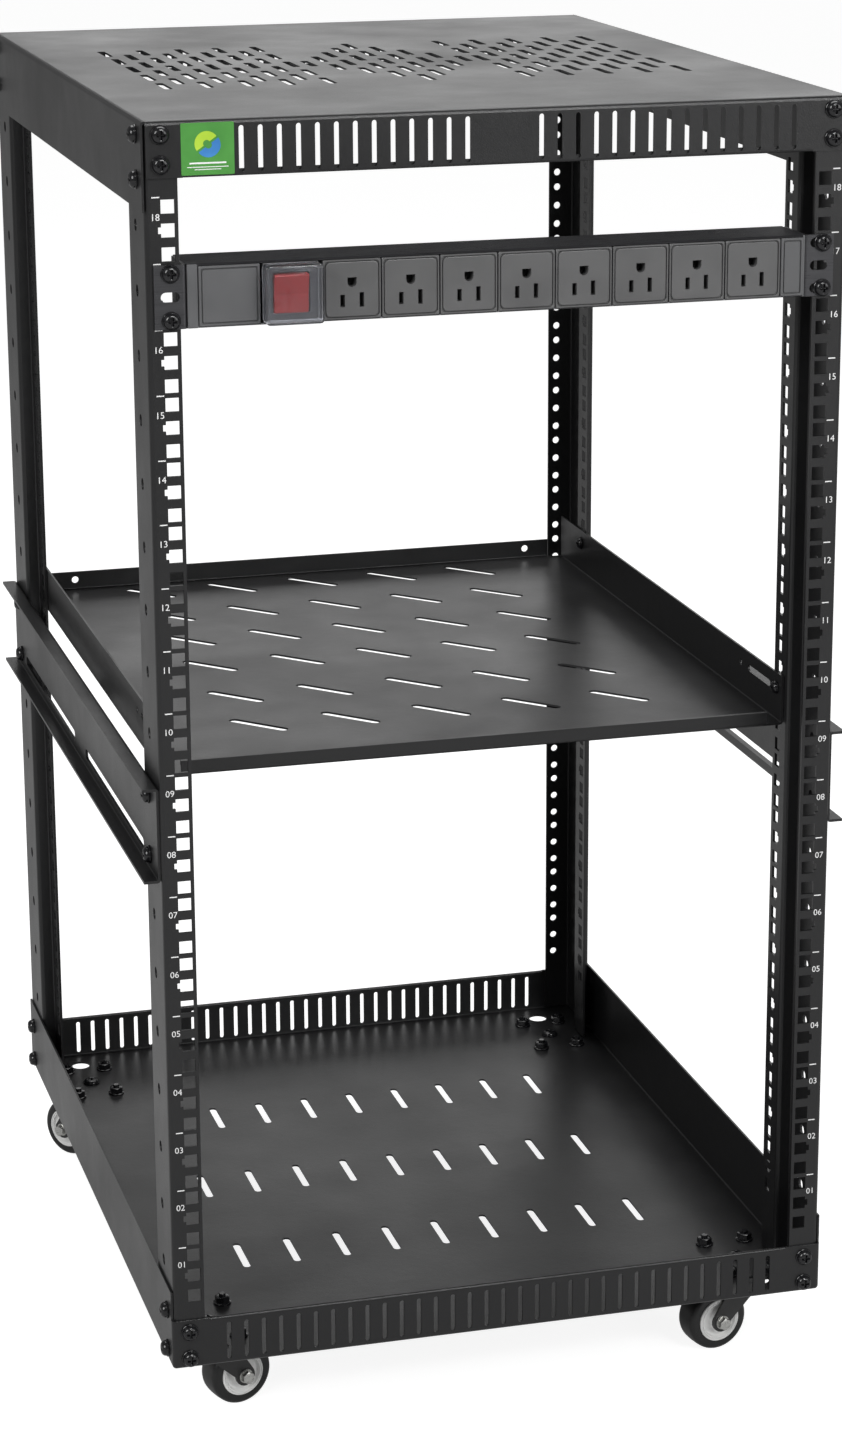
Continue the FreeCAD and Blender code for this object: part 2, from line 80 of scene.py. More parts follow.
def join(shapes):
    """One shape from several, with the later faces counted on."""
    starts = np.cumsum([0] + [len(points) for points, _ in shapes])
    points = np.concatenate([points for points, _ in shapes])
    faces = [block + start for (_, blocks), start in zip(shapes, starts) for block in blocks]
    return points, faces


def moved(shape, offset, turn=None):
    """Turned by a 3 x 3 matrix and then carried by the offset."""
    points, faces = shape
    if turn is not None:
        points = points @ np.array(turn, float).T
    return points + np.array(offset, float), faces


def mirrored(shape, axis):
    """Reflected in the plane through the origin across one axis."""
    sign = np.ones(3)
    sign[axis] = -1
    return shape[0] * sign, shape[1]


def facing(direction):
    """Turn that takes +Z to the direction and keeps the cross on a bolt head upright."""
    z = np.array(direction, float)
    z /= np.linalg.norm(z)
    up = np.array([0, 1, 0]) if abs(z[2]) > 0.9 else np.array([0, 0, 1])
    x = np.cross(up, z)
    x /= np.linalg.norm(x)
    return np.stack([x, np.cross(z, x), z], 1)


def scattered(shape, places, direction):
    """The same shape at every place, turned to face the direction."""
    turn = facing(direction)
    return join([moved(shape, place, turn) for place in places])


def capped(grid):
    """Surface over rings of points, closed by a flat face at the first ring and at the last."""
    points, faces = surface(grid, around=True)
    rows, columns = grid.shape[:2]
    ends = np.arange(columns)
    return points, faces + [ends[None, ::-1], (rows - 1) * columns + ends[None]]


def turned_grid(profile, sides):
    """Grid of a (radius, height) profile carried round the Z axis."""
    radius, height = np.array(profile, float).T
    turn = 2 * np.pi * np.arange(sides) / sides
    return np.stack([radius[:, None] * np.cos(turn), radius[:, None] * np.sin(turn),
                     np.broadcast_to(height[:, None], (len(radius), sides))], -1)


def lathe(profile, sides):
    """Round body: a profile carried round the Z axis, closed by a flat face at each end."""
    return capped(turned_grid(profile, sides))


def lathe_ring(profile, sides):
    """Round ring: a closed outline carried round the Z axis."""
    return surface(turned_grid(list(profile) + [profile[0]], sides), around=True)


def arc(centre, radius, start, end, count):
    """Points on a circle between two angles in degrees, as (x, y) pairs."""
    angle = np.radians(np.linspace(start, end, count))
    return [(centre[0] + radius * np.cos(a), centre[1] + radius * np.sin(a)) for a in angle]


def extruded(loop, start, end, axis):
    """Bar along an axis: a closed outline in the other two axes, in cyclic order, with flat ends."""
    loop = np.array(loop, float)
    grid = np.zeros((2, len(loop), 3))
    grid[..., (axis + 1) % 3] = loop[:, 0]
    grid[..., (axis + 2) % 3] = loop[:, 1]
    grid[0, :, axis] = start
    grid[1, :, axis] = end
    return capped(grid)


def block(low, high, bevel=0.0):
    """Box, or with a bevel four rings of eight points: each corner is cut off, and the rings at
    the bottom and the top are pulled in."""
    low, high = np.array(low, float), np.array(high, float)
    if bevel == 0:
        loop = [(low[1], low[2]), (high[1], low[2]), (high[1], high[2]), (low[1], high[2])]
        return extruded(loop, low[0], high[0], 0)
    rings = []
    for height, inset in ((low[2], bevel), (low[2] + bevel, 0), (high[2] - bevel, 0), (high[2], bevel)):
        x0, y0 = low[:2] + inset
        x1, y1 = high[:2] - inset
        rings.append([(x0 + bevel, y0, height), (x1 - bevel, y0, height), (x1, y0 + bevel, height),
                      (x1, y1 - bevel, height), (x1 - bevel, y1, height), (x0 + bevel, y1, height),
                      (x0, y1 - bevel, height), (x0, y0 + bevel, height)])
    return capped(np.array(rings))


def rounded_rectangle(size, radius, steps=5):
    """Outline of a rectangle with round corners, as complex numbers about its middle."""
    angle = np.linspace(0, np.pi / 2, steps)
    quarter = radius * np.exp(1j * angle) + (size[0] / 2 - radius) + 1j * (size[1] / 2 - radius)
    left = -quarter.conj()[::-1]
    return np.concatenate([quarter, left, -quarter, -left])


def slots(places, width, length, tilt=90.0, steps=7):
    """Openings with round ends: two half circles a straight length apart, at each complex place."""
    half = np.exp(1j * np.linspace(-np.pi / 2, np.pi / 2, steps)) * width / 2
    reach = (length - width) / 2
    outline = np.concatenate([half + reach, -half - reach]) * np.exp(1j * np.radians(tilt))
    return list(np.array(places).reshape(-1, 1) + outline)


def rounds(places, diameter, steps=20):
    """Round openings."""
    outline = diameter / 2 * np.exp(2j * np.pi * np.arange(steps) / steps)
    return list(np.array(places).reshape(-1, 1) + outline)


def squares(places, size, nub=0.0):
    """Square openings; a positive or negative nub is a small notch on the right or left side."""
    h, w = size / 2, NUB_WIDTH / 2
    side = np.array([h - 1j * h, h + 1j * h, -h + 1j * h, -h - 1j * h])
    if nub:
        tip = h + abs(nub)
        side = np.insert(side, 1, [h - 1j * w, tip - 1j * w, tip + 1j * w, h + 1j * w]) * np.sign(nub)
    return list(np.array(places).reshape(-1, 1) + side)


def inside(points, loop):
    """Whether each point is in a loop: a ray to the right crosses its sides an odd number of times."""
    a, b = loop, np.roll(loop, -1)
    rise = (a.imag > points.imag[:, None]) != (b.imag > points.imag[:, None])
    run = np.where(b.imag == a.imag, 1, b.imag - a.imag)
    across = a.real + (points.imag[:, None] - a.imag) / run * (b.real - a.real)
    return (rise & (points.real[:, None] < across)).sum(1) % 2 == 1


def punched(outline, openings, guides=()):
    """Flat pattern: triangles over the outline, less the openings, with an edge along each guide line."""
    loops = [np.array(outline)] + list(openings)
    starts = np.cumsum([0] + [len(loop) for loop in loops])
    edges = [np.stack([np.arange(len(loop)), np.roll(np.arange(len(loop)), -1)], 1) + start
             for loop, start in zip(loops, starts)]
    guides = np.array(guides, complex).reshape(-1, 2)
    edges.append(starts[-1] + np.arange(guides.size).reshape(-1, 2))
    flat = np.concatenate(loops + [guides.ravel()])
    given = [Vector((p.real, p.imag)) for p in flat]
    result = delaunay_2d_cdt(given, np.concatenate(edges).tolist(), [], 1, 1e-4)
    flat = np.array([complex(p[0], p[1]) for p in result[0]])
    triangles = np.array(result[2])
    middle = flat[triangles].mean(1)
    keep = inside(middle, loops[0])
    for loop in loops[1:]:
        near = np.flatnonzero((abs(middle.real - loop.real.mean()) < np.ptp(loop.real))
                              & (abs(middle.imag - loop.imag.mean()) < np.ptp(loop.imag)))
        keep[near] &= ~inside(middle[near], loop)
    return flat, triangles[keep]


def thickened(flat, triangles, thickness):
    """Both faces of a sheet and the walls between them, wherever a triangle has no neighbour."""
    count = len(flat)
    sides = np.concatenate([triangles[:, [0, 1]], triangles[:, [1, 2]], triangles[:, [2, 0]]])
    codes = sides[:, 0] * count + sides[:, 1]
    partners = sides[:, 1] * count + sides[:, 0]
    rim = sides[~np.isin(codes, partners)]
    walls = np.stack([rim[:, 1], rim[:, 0], rim[:, 0] + count, rim[:, 1] + count], 1)
    depth = np.repeat([0.0, thickness], count)
    return np.tile(flat, 2), depth, [triangles, triangles[:, ::-1] + count, walls]


def folded(distance, stretches, start=0j, heading=0.0):
    """Place and left-hand normal along a path of (length, turn) stretches.

    A stretch is straight, or an arc whose chord is the length times sin(turn / 2) over (turn / 2)."""
    lengths, turns = np.array(stretches, float).T
    turns = np.radians(turns)
    begins = np.concatenate([[0], np.cumsum(lengths)[:-1]])
    headings = np.radians(heading) + np.concatenate([[0], np.cumsum(turns)[:-1]])
    chords = lengths * np.sinc(turns / 2 / np.pi) * np.exp(1j * (headings + turns / 2))
    origins = start + np.concatenate([[0], np.cumsum(chords)[:-1]])
    which = np.clip(np.searchsorted(begins, distance, side="right") - 1, 0, len(lengths) - 1)
    ahead = distance - begins[which]
    part = turns[which] * ahead / lengths[which]
    place = origins[which] + ahead * np.sinc(part / 2 / np.pi) * np.exp(1j * (headings[which] + part / 2))
    return place, 1j * np.exp(1j * (headings[which] + part))


def fold_lines(stretches, low, high, steps=3):
    """Guide lines across a pattern at the start, the end and between them on each bend."""
    lengths, turns = np.array(stretches, float).T
    ends = np.cumsum(lengths)
    lines = []
    for end, length, turn in zip(ends, lengths, turns):
        if turn:
            lines += [(x + 1j * low, x + 1j * high) for x in np.linspace(end - length, end, steps + 1)]
    return lines


def folded_strip(path, span, openings, thickness, start=0j, heading=0.0):
    """Strip punched flat and then folded along its path. Gives every point's place in the section, its
    step through the sheet's thickness and its distance along the span, and the faces."""
    low, high = span
    width = sum(length for length, _ in path)
    outline = [1j * low, width + 1j * low, width + 1j * high, 1j * high]
    flat, depth, faces = thickened(*punched(outline, openings, fold_lines(path, low, high)), thickness)
    place, normal = folded(flat.real, path, start, heading)
    return place, normal * depth, flat.imag, faces


def bend(radius, turn):
    """A stretch that turns through an angle in degrees on the radius of the pattern's own face."""
    return radius * np.radians(abs(turn)), turn


# ---- pieces ----

def piece(name, shape, material, body, nodes=(), smooth=None):
    """Mesh object at the origin from a shape in millimetres, riding on a body and standing for nodes."""
    points, faces = shape
    mesh = bpy.data.meshes.new(name)
    mesh.from_pydata((points * MM).tolist(), [], [row for group in faces for row in group.tolist()])
    work = bmesh.new()
    work.from_mesh(mesh)
    bmesh.ops.remove_doubles(work, verts=work.verts, dist=1e-6)
    bmesh.ops.recalc_face_normals(work, faces=work.faces)
    work.to_mesh(mesh)
    work.free()
    if smooth is not None:
        mesh.polygons.foreach_set("use_smooth", np.ones(len(mesh.polygons), bool))
        mesh.set_sharp_from_angle(angle=np.radians(smooth))
    mesh.materials.append(material)
    thing = bpy.data.objects.new(name, mesh)
    bpy.context.scene.collection.objects.link(thing)
    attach(thing, body)
    if nodes:
        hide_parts(*nodes)


# ---- finishes ----

def ranged(tree, source, low, high, start=0.0, end=1.0):
    """Source values from start to end become low to high."""
    ramp = tree.nodes.new("ShaderNodeMapRange")
    for socket, value in (("From Min", start), ("From Max", end), ("To Min", low), ("To Max", high)):
        ramp.inputs[socket].default_value = value
    tree.links.new(source, ramp.inputs["Value"])
    return ramp.outputs["Result"]


class Finish:
    """A material and its node tree, with short ways to add and join nodes."""

    def __init__(self, name):
        self.material = bpy.data.materials.new(name)
        self.material.use_nodes = True
        self.tree = self.material.node_tree
        self.shader = self.tree.nodes["Principled BSDF"]
        self.place = self.node("ShaderNodeTexCoord").outputs["Object"]

    def node(self, kind, **values):
        """New node with its own settings."""
        made = self.tree.nodes.new(kind)
        for key, value in values.items():
            setattr(made, key, value)
        return made

    def link(self, source, target):
        """Joins an output to an input."""
        self.tree.links.new(source, target)

    def noise(self, scale, detail=2.0, rough=0.5, stretch=None):
        """Cloudy pattern, scale in features per metre; stretch multiplies each axis."""
        place = self.place
        if stretch:
            mapping = self.node("ShaderNodeMapping")
            mapping.inputs["Scale"].default_value = stretch
            self.link(place, mapping.inputs["Vector"])
            place = mapping.outputs["Vector"]
        made = self.node("ShaderNodeTexNoise")
        made.inputs["Scale"].default_value = scale
        made.inputs["Detail"].default_value = detail
        made.inputs["Roughness"].default_value = rough
        self.link(place, made.inputs["Vector"])
        return made.outputs["Fac"]

    def spread(self, source, low, high, start=0.3, end=0.7):
        """Pattern values from start to end become low to high."""
        return ranged(self.tree, source, low, high, start, end)

    def tint(self, factor, dark, light):
        """Colour between two shades by a factor from 0 to 1."""
        made = self.node("ShaderNodeMix", data_type="RGBA")
        made.inputs["A"].default_value = (*dark, 1)
        made.inputs["B"].default_value = (*light, 1)
        self.link(factor, made.inputs["Factor"])
        return made.outputs["Result"]

    def relief(self, source, height, under=None):
        """Bump from a pattern; height in metres, under another bump's normal if there is one."""
        made = self.node("ShaderNodeBump")
        made.inputs["Strength"].default_value = 1.0
        made.inputs["Distance"].default_value = height
        self.link(source, made.inputs["Height"])
        if under is not None:
            self.link(under, made.inputs["Normal"])
        return made.outputs["Normal"]

    def set(self, **values):
        """Numbers that are the same all over, on the shader's own sockets."""
        for key, value in values.items():
            self.shader.inputs[key.replace("_", " ")].default_value = value


def powder_coat(name, shade, rough=0.34, peel=1.0):
    """Satin powder coat: fine orange peel over slow waves, dust in pale specks, cloudy gloss."""
    paint = Finish(name)
    peel_pattern = paint.noise(950.0, 3.0, 0.6)
    waves = paint.noise(170.0, 1.0, 0.4)
    cloud = paint.noise(9.0, 3.0, 0.6)
    dust = paint.noise(2300.0, 1.0, 0.5)
    base = np.array(shade)
    tone = paint.tint(paint.spread(cloud, 0.0, 1.0), base * 0.88, base * 1.12)
    speck = paint.node("ShaderNodeMix", data_type="RGBA")
    speck.inputs["B"].default_value = (*(base * 1.9), 1)
    paint.link(paint.spread(dust, 0.0, 0.45, 0.62, 0.78), speck.inputs["Factor"])
    paint.link(tone, speck.inputs["A"])
    paint.link(speck.outputs["Result"], paint.shader.inputs["Base Color"])
    paint.link(paint.spread(cloud, rough - 0.05, rough + 0.06), paint.shader.inputs["Roughness"])
    slow = paint.relief(waves, 0.00006 * peel)
    paint.link(paint.relief(peel_pattern, 0.00009 * peel, slow), paint.shader.inputs["Normal"])
    paint.set(Specular_IOR_Level=0.5)
    return paint.material


def moulded(name, shade, rough=0.4, grain=1400.0, depth=0.00003, **more):
    """Moulded plastic: a fine spark-eroded grain and a slightly uneven gloss."""
    plastic = Finish(name)
    base = np.array(shade)
    cloud = plastic.noise(35.0, 2.0, 0.5)
    plastic.link(plastic.tint(plastic.spread(cloud, 0.0, 1.0), base * 0.92, base * 1.06),
                 plastic.shader.inputs["Base Color"])
    plastic.link(plastic.spread(cloud, rough - 0.05, rough + 0.05), plastic.shader.inputs["Roughness"])
    plastic.link(plastic.relief(plastic.noise(grain, 2.0, 0.6), depth), plastic.shader.inputs["Normal"])
    plastic.set(**more)
    return plastic.material


def bare_metal(name, shade, rough=0.35, stretch=(1, 1, 1), metallic=1.0, scale=500.0):
    """Metal with fine marks drawn out along one axis by the stretch."""
    metal = Finish(name)
    base = np.array(shade)
    marks = metal.noise(scale, 3.0, 0.6, stretch)
    metal.link(metal.tint(metal.spread(marks, 0.0, 1.0), base * 0.85, base * 1.1),
               metal.shader.inputs["Base Color"])
    metal.link(metal.spread(marks, rough - 0.08, rough + 0.1), metal.shader.inputs["Roughness"])
    metal.link(metal.relief(marks, 0.00002), metal.shader.inputs["Normal"])
    metal.set(Metallic=metallic)
    return metal.material


BLACK = (0.0075, 0.0075, 0.0080)
cover_paint = powder_coat("cover_powder_coat", BLACK)
tray_paint = powder_coat("tray_powder_coat", BLACK)
post_paint = powder_coat("post_powder_coat", BLACK)
shelf_paint = powder_coat("shelf_powder_coat", BLACK)
rail_paint = powder_coat("rail_powder_coat", BLACK)
bolt_black = bare_metal("black_oxide", (0.006, 0.006, 0.007), 0.16, metallic=0.0)
caster_black = powder_coat("caster_enamel", (0.022, 0.022, 0.022), 0.38, 0.7)
zinc = bare_metal("zinc_plate", (0.55, 0.55, 0.53), 0.3)
anodised = bare_metal("black_anodised", (0.06, 0.06, 0.064), 0.34, (0.02, 1, 1), 0.6, 1500.0)
socket_black = moulded("socket_plastic", (0.085, 0.085, 0.086), 0.38)
plate_black = moulded("plate_plastic", (0.085, 0.086, 0.089), 0.42)
# near-black painted shade for the dark inside of the sockets' openings
socket_painted_shade = moulded("contact_shadow", (0.004, 0.004, 0.004), 0.8)
rocker_red = moulded("rocker_plastic", (0.42, 0.012, 0.01), 0.3)
rubber = moulded("tyre_rubber", (0.008, 0.008, 0.008), 0.3, 900.0, 0.00005)
rim_grey = moulded("rim_plastic", (0.82, 0.82, 0.81), 0.35)
white_print = moulded("white_print", (0.72, 0.72, 0.72), 0.5)
clear_plastic = moulded("clear_plastic", (0.7, 0.71, 0.75), 0.1, 300.0, 0.000004, Transmission_Weight=1.0,
                        IOR=1.49)


# ---- bolts ----

WASHER = 1.3                    # thickness of the flange under a pan head
ROUND_STEPS = 40


def pan_head(width=11.6, height=3.9):
    """Round head: the height falls off as the root of one less the fourth power of the radius;
    a cross whose arms end short of the rim is pressed in. It sits on a wider washer."""
    share = np.array([0.03, 0.1, 0.16, 0.22, 0.3, 0.38, 0.46, 0.54, 0.62, 0.72, 0.84, 0.93, 0.985, 1.0])
    turn = 2 * np.pi * np.arange(ROUND_STEPS) / ROUND_STEPS
    recess, arm_width, arm_reach = 2.0, 0.13, 0.56
    x = share[:, None] * np.cos(turn)
    y = share[:, None] * np.sin(turn)
    top = WASHER + height * np.sqrt(np.clip(1 - share ** 4, 0, 1))[:, None]
    arm = np.clip((arm_width - np.minimum(abs(x), abs(y))) / 0.04, 0, 1)
    reach = np.clip((arm_reach - np.hypot(x, y)) / 0.1, 0, 1)
    dome = capped(np.stack([x * width / 2, y * width / 2, top - recess * arm * reach], -1)[::-1])
    rim = width / 2 + 0.7
    flange = [(rim - 0.2, 0), (rim, 0.2), (rim, WASHER - 0.3), (rim - 0.3, WASHER), (1, WASHER)]
    return join([dome, lathe(flange, ROUND_STEPS)])


def hex_head(across, height):
    """Six-sided head: the rim follows the hexagon, and its corners are turned off by a shallow cone."""
    steps = 48
    turn = 2 * np.pi * np.arange(steps) / steps
    apothem = across / 2
    hexagon = apothem / np.cos((turn + np.pi / 6) % (np.pi / 3) - np.pi / 6)
    rings = []
    for share, level in ((1, 0), (1, 1), (0.94, 1), (0.5, 1), (0.06, 1)):
        radius = hexagon if share == 1 else np.full(steps, apothem * share)
        drop = np.clip(radius - apothem * 0.95, 0, None) * 0.55
        rings.append(np.stack([radius * np.cos(turn), radius * np.sin(turn), level * (height - drop)], -1))
    return capped(np.array(rings))


# ---- folded pans: the cover, the tray and the shelf ----
NEAR = 0.05                     # as good as on a fold's line
PAN_SHEET = 1.5


def flat_level(half, radius):
    """Distance from the middle of a pattern at which its flange, once folded, stands at plate level."""
    return half - radius + radius * np.pi / 2 - radius


def pan(half_w, half_d, side, lips, radius, thickness, openings, lip_half, side_half):
    """Cross-shaped pattern folded up along four lines.

    Across each axis the pattern is flat, then an arc, then a straight flange; the two folds
    never meet in the pattern, so their places add and their normals multiply. A side wall may run
    past the lip's fold, and is then left out of it."""
    flat_x, flat_y = half_w - radius, half_d - radius
    curve = radius * np.pi / 2
    reach_x = flat_x + curve + side - radius
    front, back = [flat_y + curve + lip - radius for lip in lips]
    outline = [lip_half - 1j * front, lip_half - 1j * flat_y, flat_x - 1j * side_half,
               reach_x - 1j * side_half, reach_x + 1j * side_half, flat_x + 1j * side_half,
               lip_half + 1j * flat_y, lip_half + 1j * back]
    outline = np.array(outline + [-p.conjugate() for p in outline[::-1]])
    guides = []
    for share in np.linspace(0, 1, 4):
        x, y = flat_x + curve * share, flat_y + curve * share
        guides += [(s * x - 1j * side_half, s * x + 1j * side_half) for s in (1, -1)]
        guides += [(-lip_half + 1j * s * y, lip_half + 1j * s * y) for s in (-1, 1)]
    flat, depth, faces = thickened(*punched(outline, openings, guides), thickness)
    across, across_normal = folded(abs(flat.real), [(flat_x, 0), (curve, 90), (side - radius, 0)])
    along, along_normal = folded(abs(flat.imag), [(flat_y, 0), (curve, 90), (max(lips) - radius + 1, 0)])
    on_wall = (abs(flat.real) > flat_x - NEAR) & (side_half > flat_y)
    along = np.where(on_wall, abs(flat.imag), along)
    along_normal = np.where(on_wall, 1j, along_normal)
    x = np.sign(flat.real) * (across.real + across_normal.real * depth)
    y = np.sign(flat.imag) * (along.real + along_normal.real * depth)
    z = across.imag + along.imag + depth * across_normal.imag * along_normal.imag
    return np.stack([x, y, z], -1), faces


def corner_strip(half_w, half_d, height, radius, thickness):
    """Rounded upright corner: the fold's section carried round a quarter turn, one copy per corner."""
    outer = [(0.05, 0)] + arc((0, radius), radius, -90, 0, 6)[1:] + [(radius, height)]
    inner = [(radius - thickness, height)] + arc((0, radius), radius - thickness, 0, -90, 5)
    section = np.array(outer + inner[:-1] + [(0.05, thickness)])
    turn = np.linspace(0, np.pi / 2, 7)
    grid = np.stack([section[:, 0] * np.cos(turn)[:, None], section[:, 0] * np.sin(turn)[:, None],
                     np.broadcast_to(section[:, 1], (len(turn), len(section)))], -1)
    quarter = moved(surface(grid, around=True), (half_w - radius, half_d - radius, 0))
    right = [quarter, mirrored(quarter, 1)]
    return join(right + [mirrored(shape, 0) for shape in right])


HEM = 1.6                       # radius of the lips' rolled edges
ROLLED_HALF = 222.0             # the rolled edge ends here, and a plain strip goes on


def lip_edges(half_w, half_d, height, tall, thickness):
    """Both lips' edges: a sheet rolled over a half circle and down inside the lip, and a plain
    strip at each end, where the post stands behind it."""
    y, top, under = half_d - HEM, height - HEM, height - tall
    inside_y = half_d - thickness - 0.2
    section = [(half_d, top - 0.1)] + arc((y, top), HEM, 0, 180, 11)
    section += [(half_d - 2 * HEM, under), (inside_y, under), (inside_y, top - 0.1)]
    shapes = [extruded(section, -ROLLED_HALF, ROLLED_HALF, 0)]
    for low, high in ((-half_w, -ROLLED_HALF), (ROLLED_HALF, half_w)):
        shapes.append(block((low, half_d - thickness, top - 0.1), (high, half_d, height), 0.15))
    front = join(shapes)
    return join([front, mirrored(front, 1)])


cover_low, cover_high = corners("top_cover")
tray_low = corners("base_tray")[0]
MIDDLE_Y = (cover_low[1] + cover_high[1]) / 2
HALF_W = (cover_high[0] - cover_low[0]) / 2
HALF_D = (cover_high[1] - cover_low[1]) / 2
SIDE = cover_high[2] - cover_low[2]
LIP = 38.0
FOLD = 3.0
UNIT_Z = (cover_high[2] + tray_low[2]) / 2 - UNITS * UNIT / 2
VENT_STEP = (15.0, 57.6)
VENT_SLOT = (6.0, 40.0)
FLOOR_STEP = (40.0, 138.0)
FLOOR_SLOT = (6.0, 45.0)
FLOOR_HOLE = (211.0, 289.0)
LIP_STEP = 13.0
HEM_TALL = 4.5
full_row = np.arange(-16, 17)
front_row = full_row[abs(full_row) > 1]


def lip_slots(places, side, middle, length, width):
    """Row of upright slots in a lip, its middle measured from the plate."""
    return slots(places * LIP_STEP + 1j * side * (flat_level(HALF_D, FOLD) + middle), width, length)


def vent_column(x, count):
    """Places of a column of slots, evenly about the middle."""
    return [x + 1j * VENT_STEP[1] * (row - (count - 1) / 2) for row in range(count)]


def vent_places():
    """Two fields of nine columns, five and four slots in turn, and a diamond between them."""
    places = []
    for centre in (-134.0, 134.0):
        for column in range(-4, 5):
            places += vent_column(centre + column * VENT_STEP[0], 5 - column % 2)
    for column in range(-4, 5):
        places += vent_column(column * VENT_STEP[0], 5 - abs(column))
    return places


def top_cover():
    """Pan turned over, with open slits at its corners."""
    openings = slots(vent_places(), *VENT_SLOT)
    openings += lip_slots(front_row, -1, 20.2, 31.0, 3.6) + lip_slots(full_row, 1, 20.2, 31.0, 3.6)
    lip, lip_half = LIP - HEM, HALF_W - FOLD - 0.2
    shape = pan(HALF_W, HALF_D, SIDE, (lip, lip), FOLD, PAN_SHEET, openings, lip_half, HALF_D - 0.3)
    shape = join([shape, lip_edges(lip_half, HALF_D, LIP, HEM_TALL, PAN_SHEET)])
    return moved(mirrored(shape, 2), (0, MIDDLE_Y, cover_high[2]))


def base_tray():
    """Pan with closed round corners, rows of floor slots and a round hole near each corner."""
    floor_places = [FLOOR_STEP[0] * column + 1j * FLOOR_STEP[1] * row for column in range(-4, 5)
                    for row in (-1, 0, 1)]
    holes = [x * FLOOR_HOLE[0] + 1j * y * FLOOR_HOLE[1] for x in (-1, 1) for y in (-1, 1)]
    openings = slots(floor_places, *FLOOR_SLOT) + rounds(holes, 16.0)
    for side in (-1, 1):
        openings += lip_slots(full_row, side, 18.6, 29.0, 3.4)
    lip, lip_half = LIP - HEM, HALF_W - FOLD
    shape = pan(HALF_W, HALF_D, SIDE, (lip, lip), FOLD, PAN_SHEET, openings, lip_half, HALF_D - FOLD)
    shape = join([shape, corner_strip(HALF_W, HALF_D, LIP, FOLD, PAN_SHEET),
                  lip_edges(lip_half, HALF_D, LIP, HEM_TALL, PAN_SHEET)])
    return moved(shape, (0, MIDDLE_Y, tray_low[2]))


piece("cover", top_cover(), cover_paint, "frame", ["top_cover"])
piece("tray", base_tray(), tray_paint, "frame", ["base_tray"])

# ---- shelf ----
shelf_low, shelf_high = corners("shelf_tray")
SHELF_SLOT = (8.0, 52.0)
SHELF_TILT = -47.0
SHELF_STEP = 70.4
SHELF_ROWS = np.array([166, 246, 338, 418, 499, 580])       # from a line in front of the shelf
SHELF_LINE = 313.5
SHELF_LIPS = (11.0, 16.5)
SHELF_LIP_HALF = 221.0


def shelf_tray():
    """Pan with low lips and side walls, slanting floor slots and a strip behind the top of its front
    lip."""
    half_w = (shelf_high[0] - shelf_low[0]) / 2
    half_d = (shelf_high[1] - shelf_low[1]) / 2
    middle = (shelf_high[1] + shelf_low[1]) / 2
    first = MIDDLE_Y - middle - SHELF_LINE
    radius, wall_middle = 2.5, 25
    places = [x * SHELF_STEP + 1j * y for x in range(-2, 3) for y in SHELF_ROWS + first]
    openings = slots(places, *SHELF_SLOT, SHELF_TILT)
    wall = flat_level(half_w, radius) + wall_middle
    for side in (-1, 1):
        openings += slots([side * wall + 1j * (first + 111)], 5.0, 48.0)
        openings += rounds([side * wall + 1j * (first + 151)], 5.0, 14)
    openings += rounds([x + 1j * (flat_level(half_d, radius) + 9.5) for x in (-200, 200)], 6.0, 14)
    shape = pan(half_w, half_d, shelf_high[2] - shelf_low[2], SHELF_LIPS, radius, PAN_SHEET, openings,
                SHELF_LIP_HALF, half_d - radius)
    y, low, high = -half_d + PAN_SHEET, 7.5, SHELF_LIPS[0]
    back = extruded([(y, low), (y + PAN_SHEET, low), (y + PAN_SHEET, high), (y, high)],
                    -SHELF_LIP_HALF, SHELF_LIP_HALF, 0)
    return moved(join([shape, back]), (0, middle, shelf_low[2]))


piece("shelf", shelf_tray(), shelf_paint, "frame", ["shelf_tray"])

# ---- posts ----
front_low, front_high = corners("post_front_right")
FACE_Y = front_low[1]
REAR_Y = corners("post_rear_right")[1][1]
POST_SHEET = 2.0
POST_INNER, POST_OUTER = front_low[0], front_high[0]
WEB = 58.0
STRIP = 237.0
STEP_FOLD = 1.0
SQUARE_HOLE, NUB = 9.5, 2.0
WEB_HOLE, WEB_HOLE_Y = 8.5, 32.7
REAR_HOLE = 6.0
STRIP_HOLE_Y = 74.4
post_path = [(POST_OUTER - POST_INNER - FOLD, 0), bend(FOLD, 90), (WEB - 2 * FOLD, 0), bend(FOLD, 90),
             (POST_OUTER - STRIP - FOLD - STEP_FOLD, 0), bend(STEP_FOLD, -90),
             (front_high[1] - FACE_Y - WEB - STEP_FOLD, 0)]
post_starts = np.concatenate([[0], np.cumsum([length for length, _ in post_path])])
hole_heights = (UNIT_Z + np.arange(UNITS)[:, None] * UNIT + RISES).ravel()
middle_heights = hole_heights[1::3]
outer_heights = np.setdiff1d(hole_heights, middle_heights)


def rack_squares(x, nub):
    """Three square holes a unit, the middle one with a notch."""
    return squares(x + 1j * outer_heights, SQUARE_HOLE) + squares(x + 1j * middle_heights, SQUARE_HOLE, nub)


def post(front):
    """Right-hand post, folded from one strip: drilled face, web, step and inner drilled strip."""
    face_x = COLUMN - POST_INNER
    web_x = post_starts[2] + WEB_HOLE_Y - FOLD
    strip_x = post_starts[6] + STRIP_HOLE_Y - WEB - STEP_FOLD
    openings = rack_squares(strip_x, -NUB) + rounds(web_x + 1j * middle_heights, WEB_HOLE, 16)
    openings += rack_squares(face_x, NUB) if front else rounds(face_x + 1j * hole_heights, REAR_HOLE, 16)
    place, inward, height, faces = folded_strip(post_path, (front_low[2], front_high[2]), openings,
                                                POST_SHEET, POST_INNER + 1j * FACE_Y)
    place = place + inward
    return np.stack([place.real, place.imag, height], -1), faces


def to_rear(shape):
    """Reflected across the rack from front to back."""
    points, faces = shape
    return points * (1, -1, 1) + (0, FACE_Y + REAR_Y, 0), faces


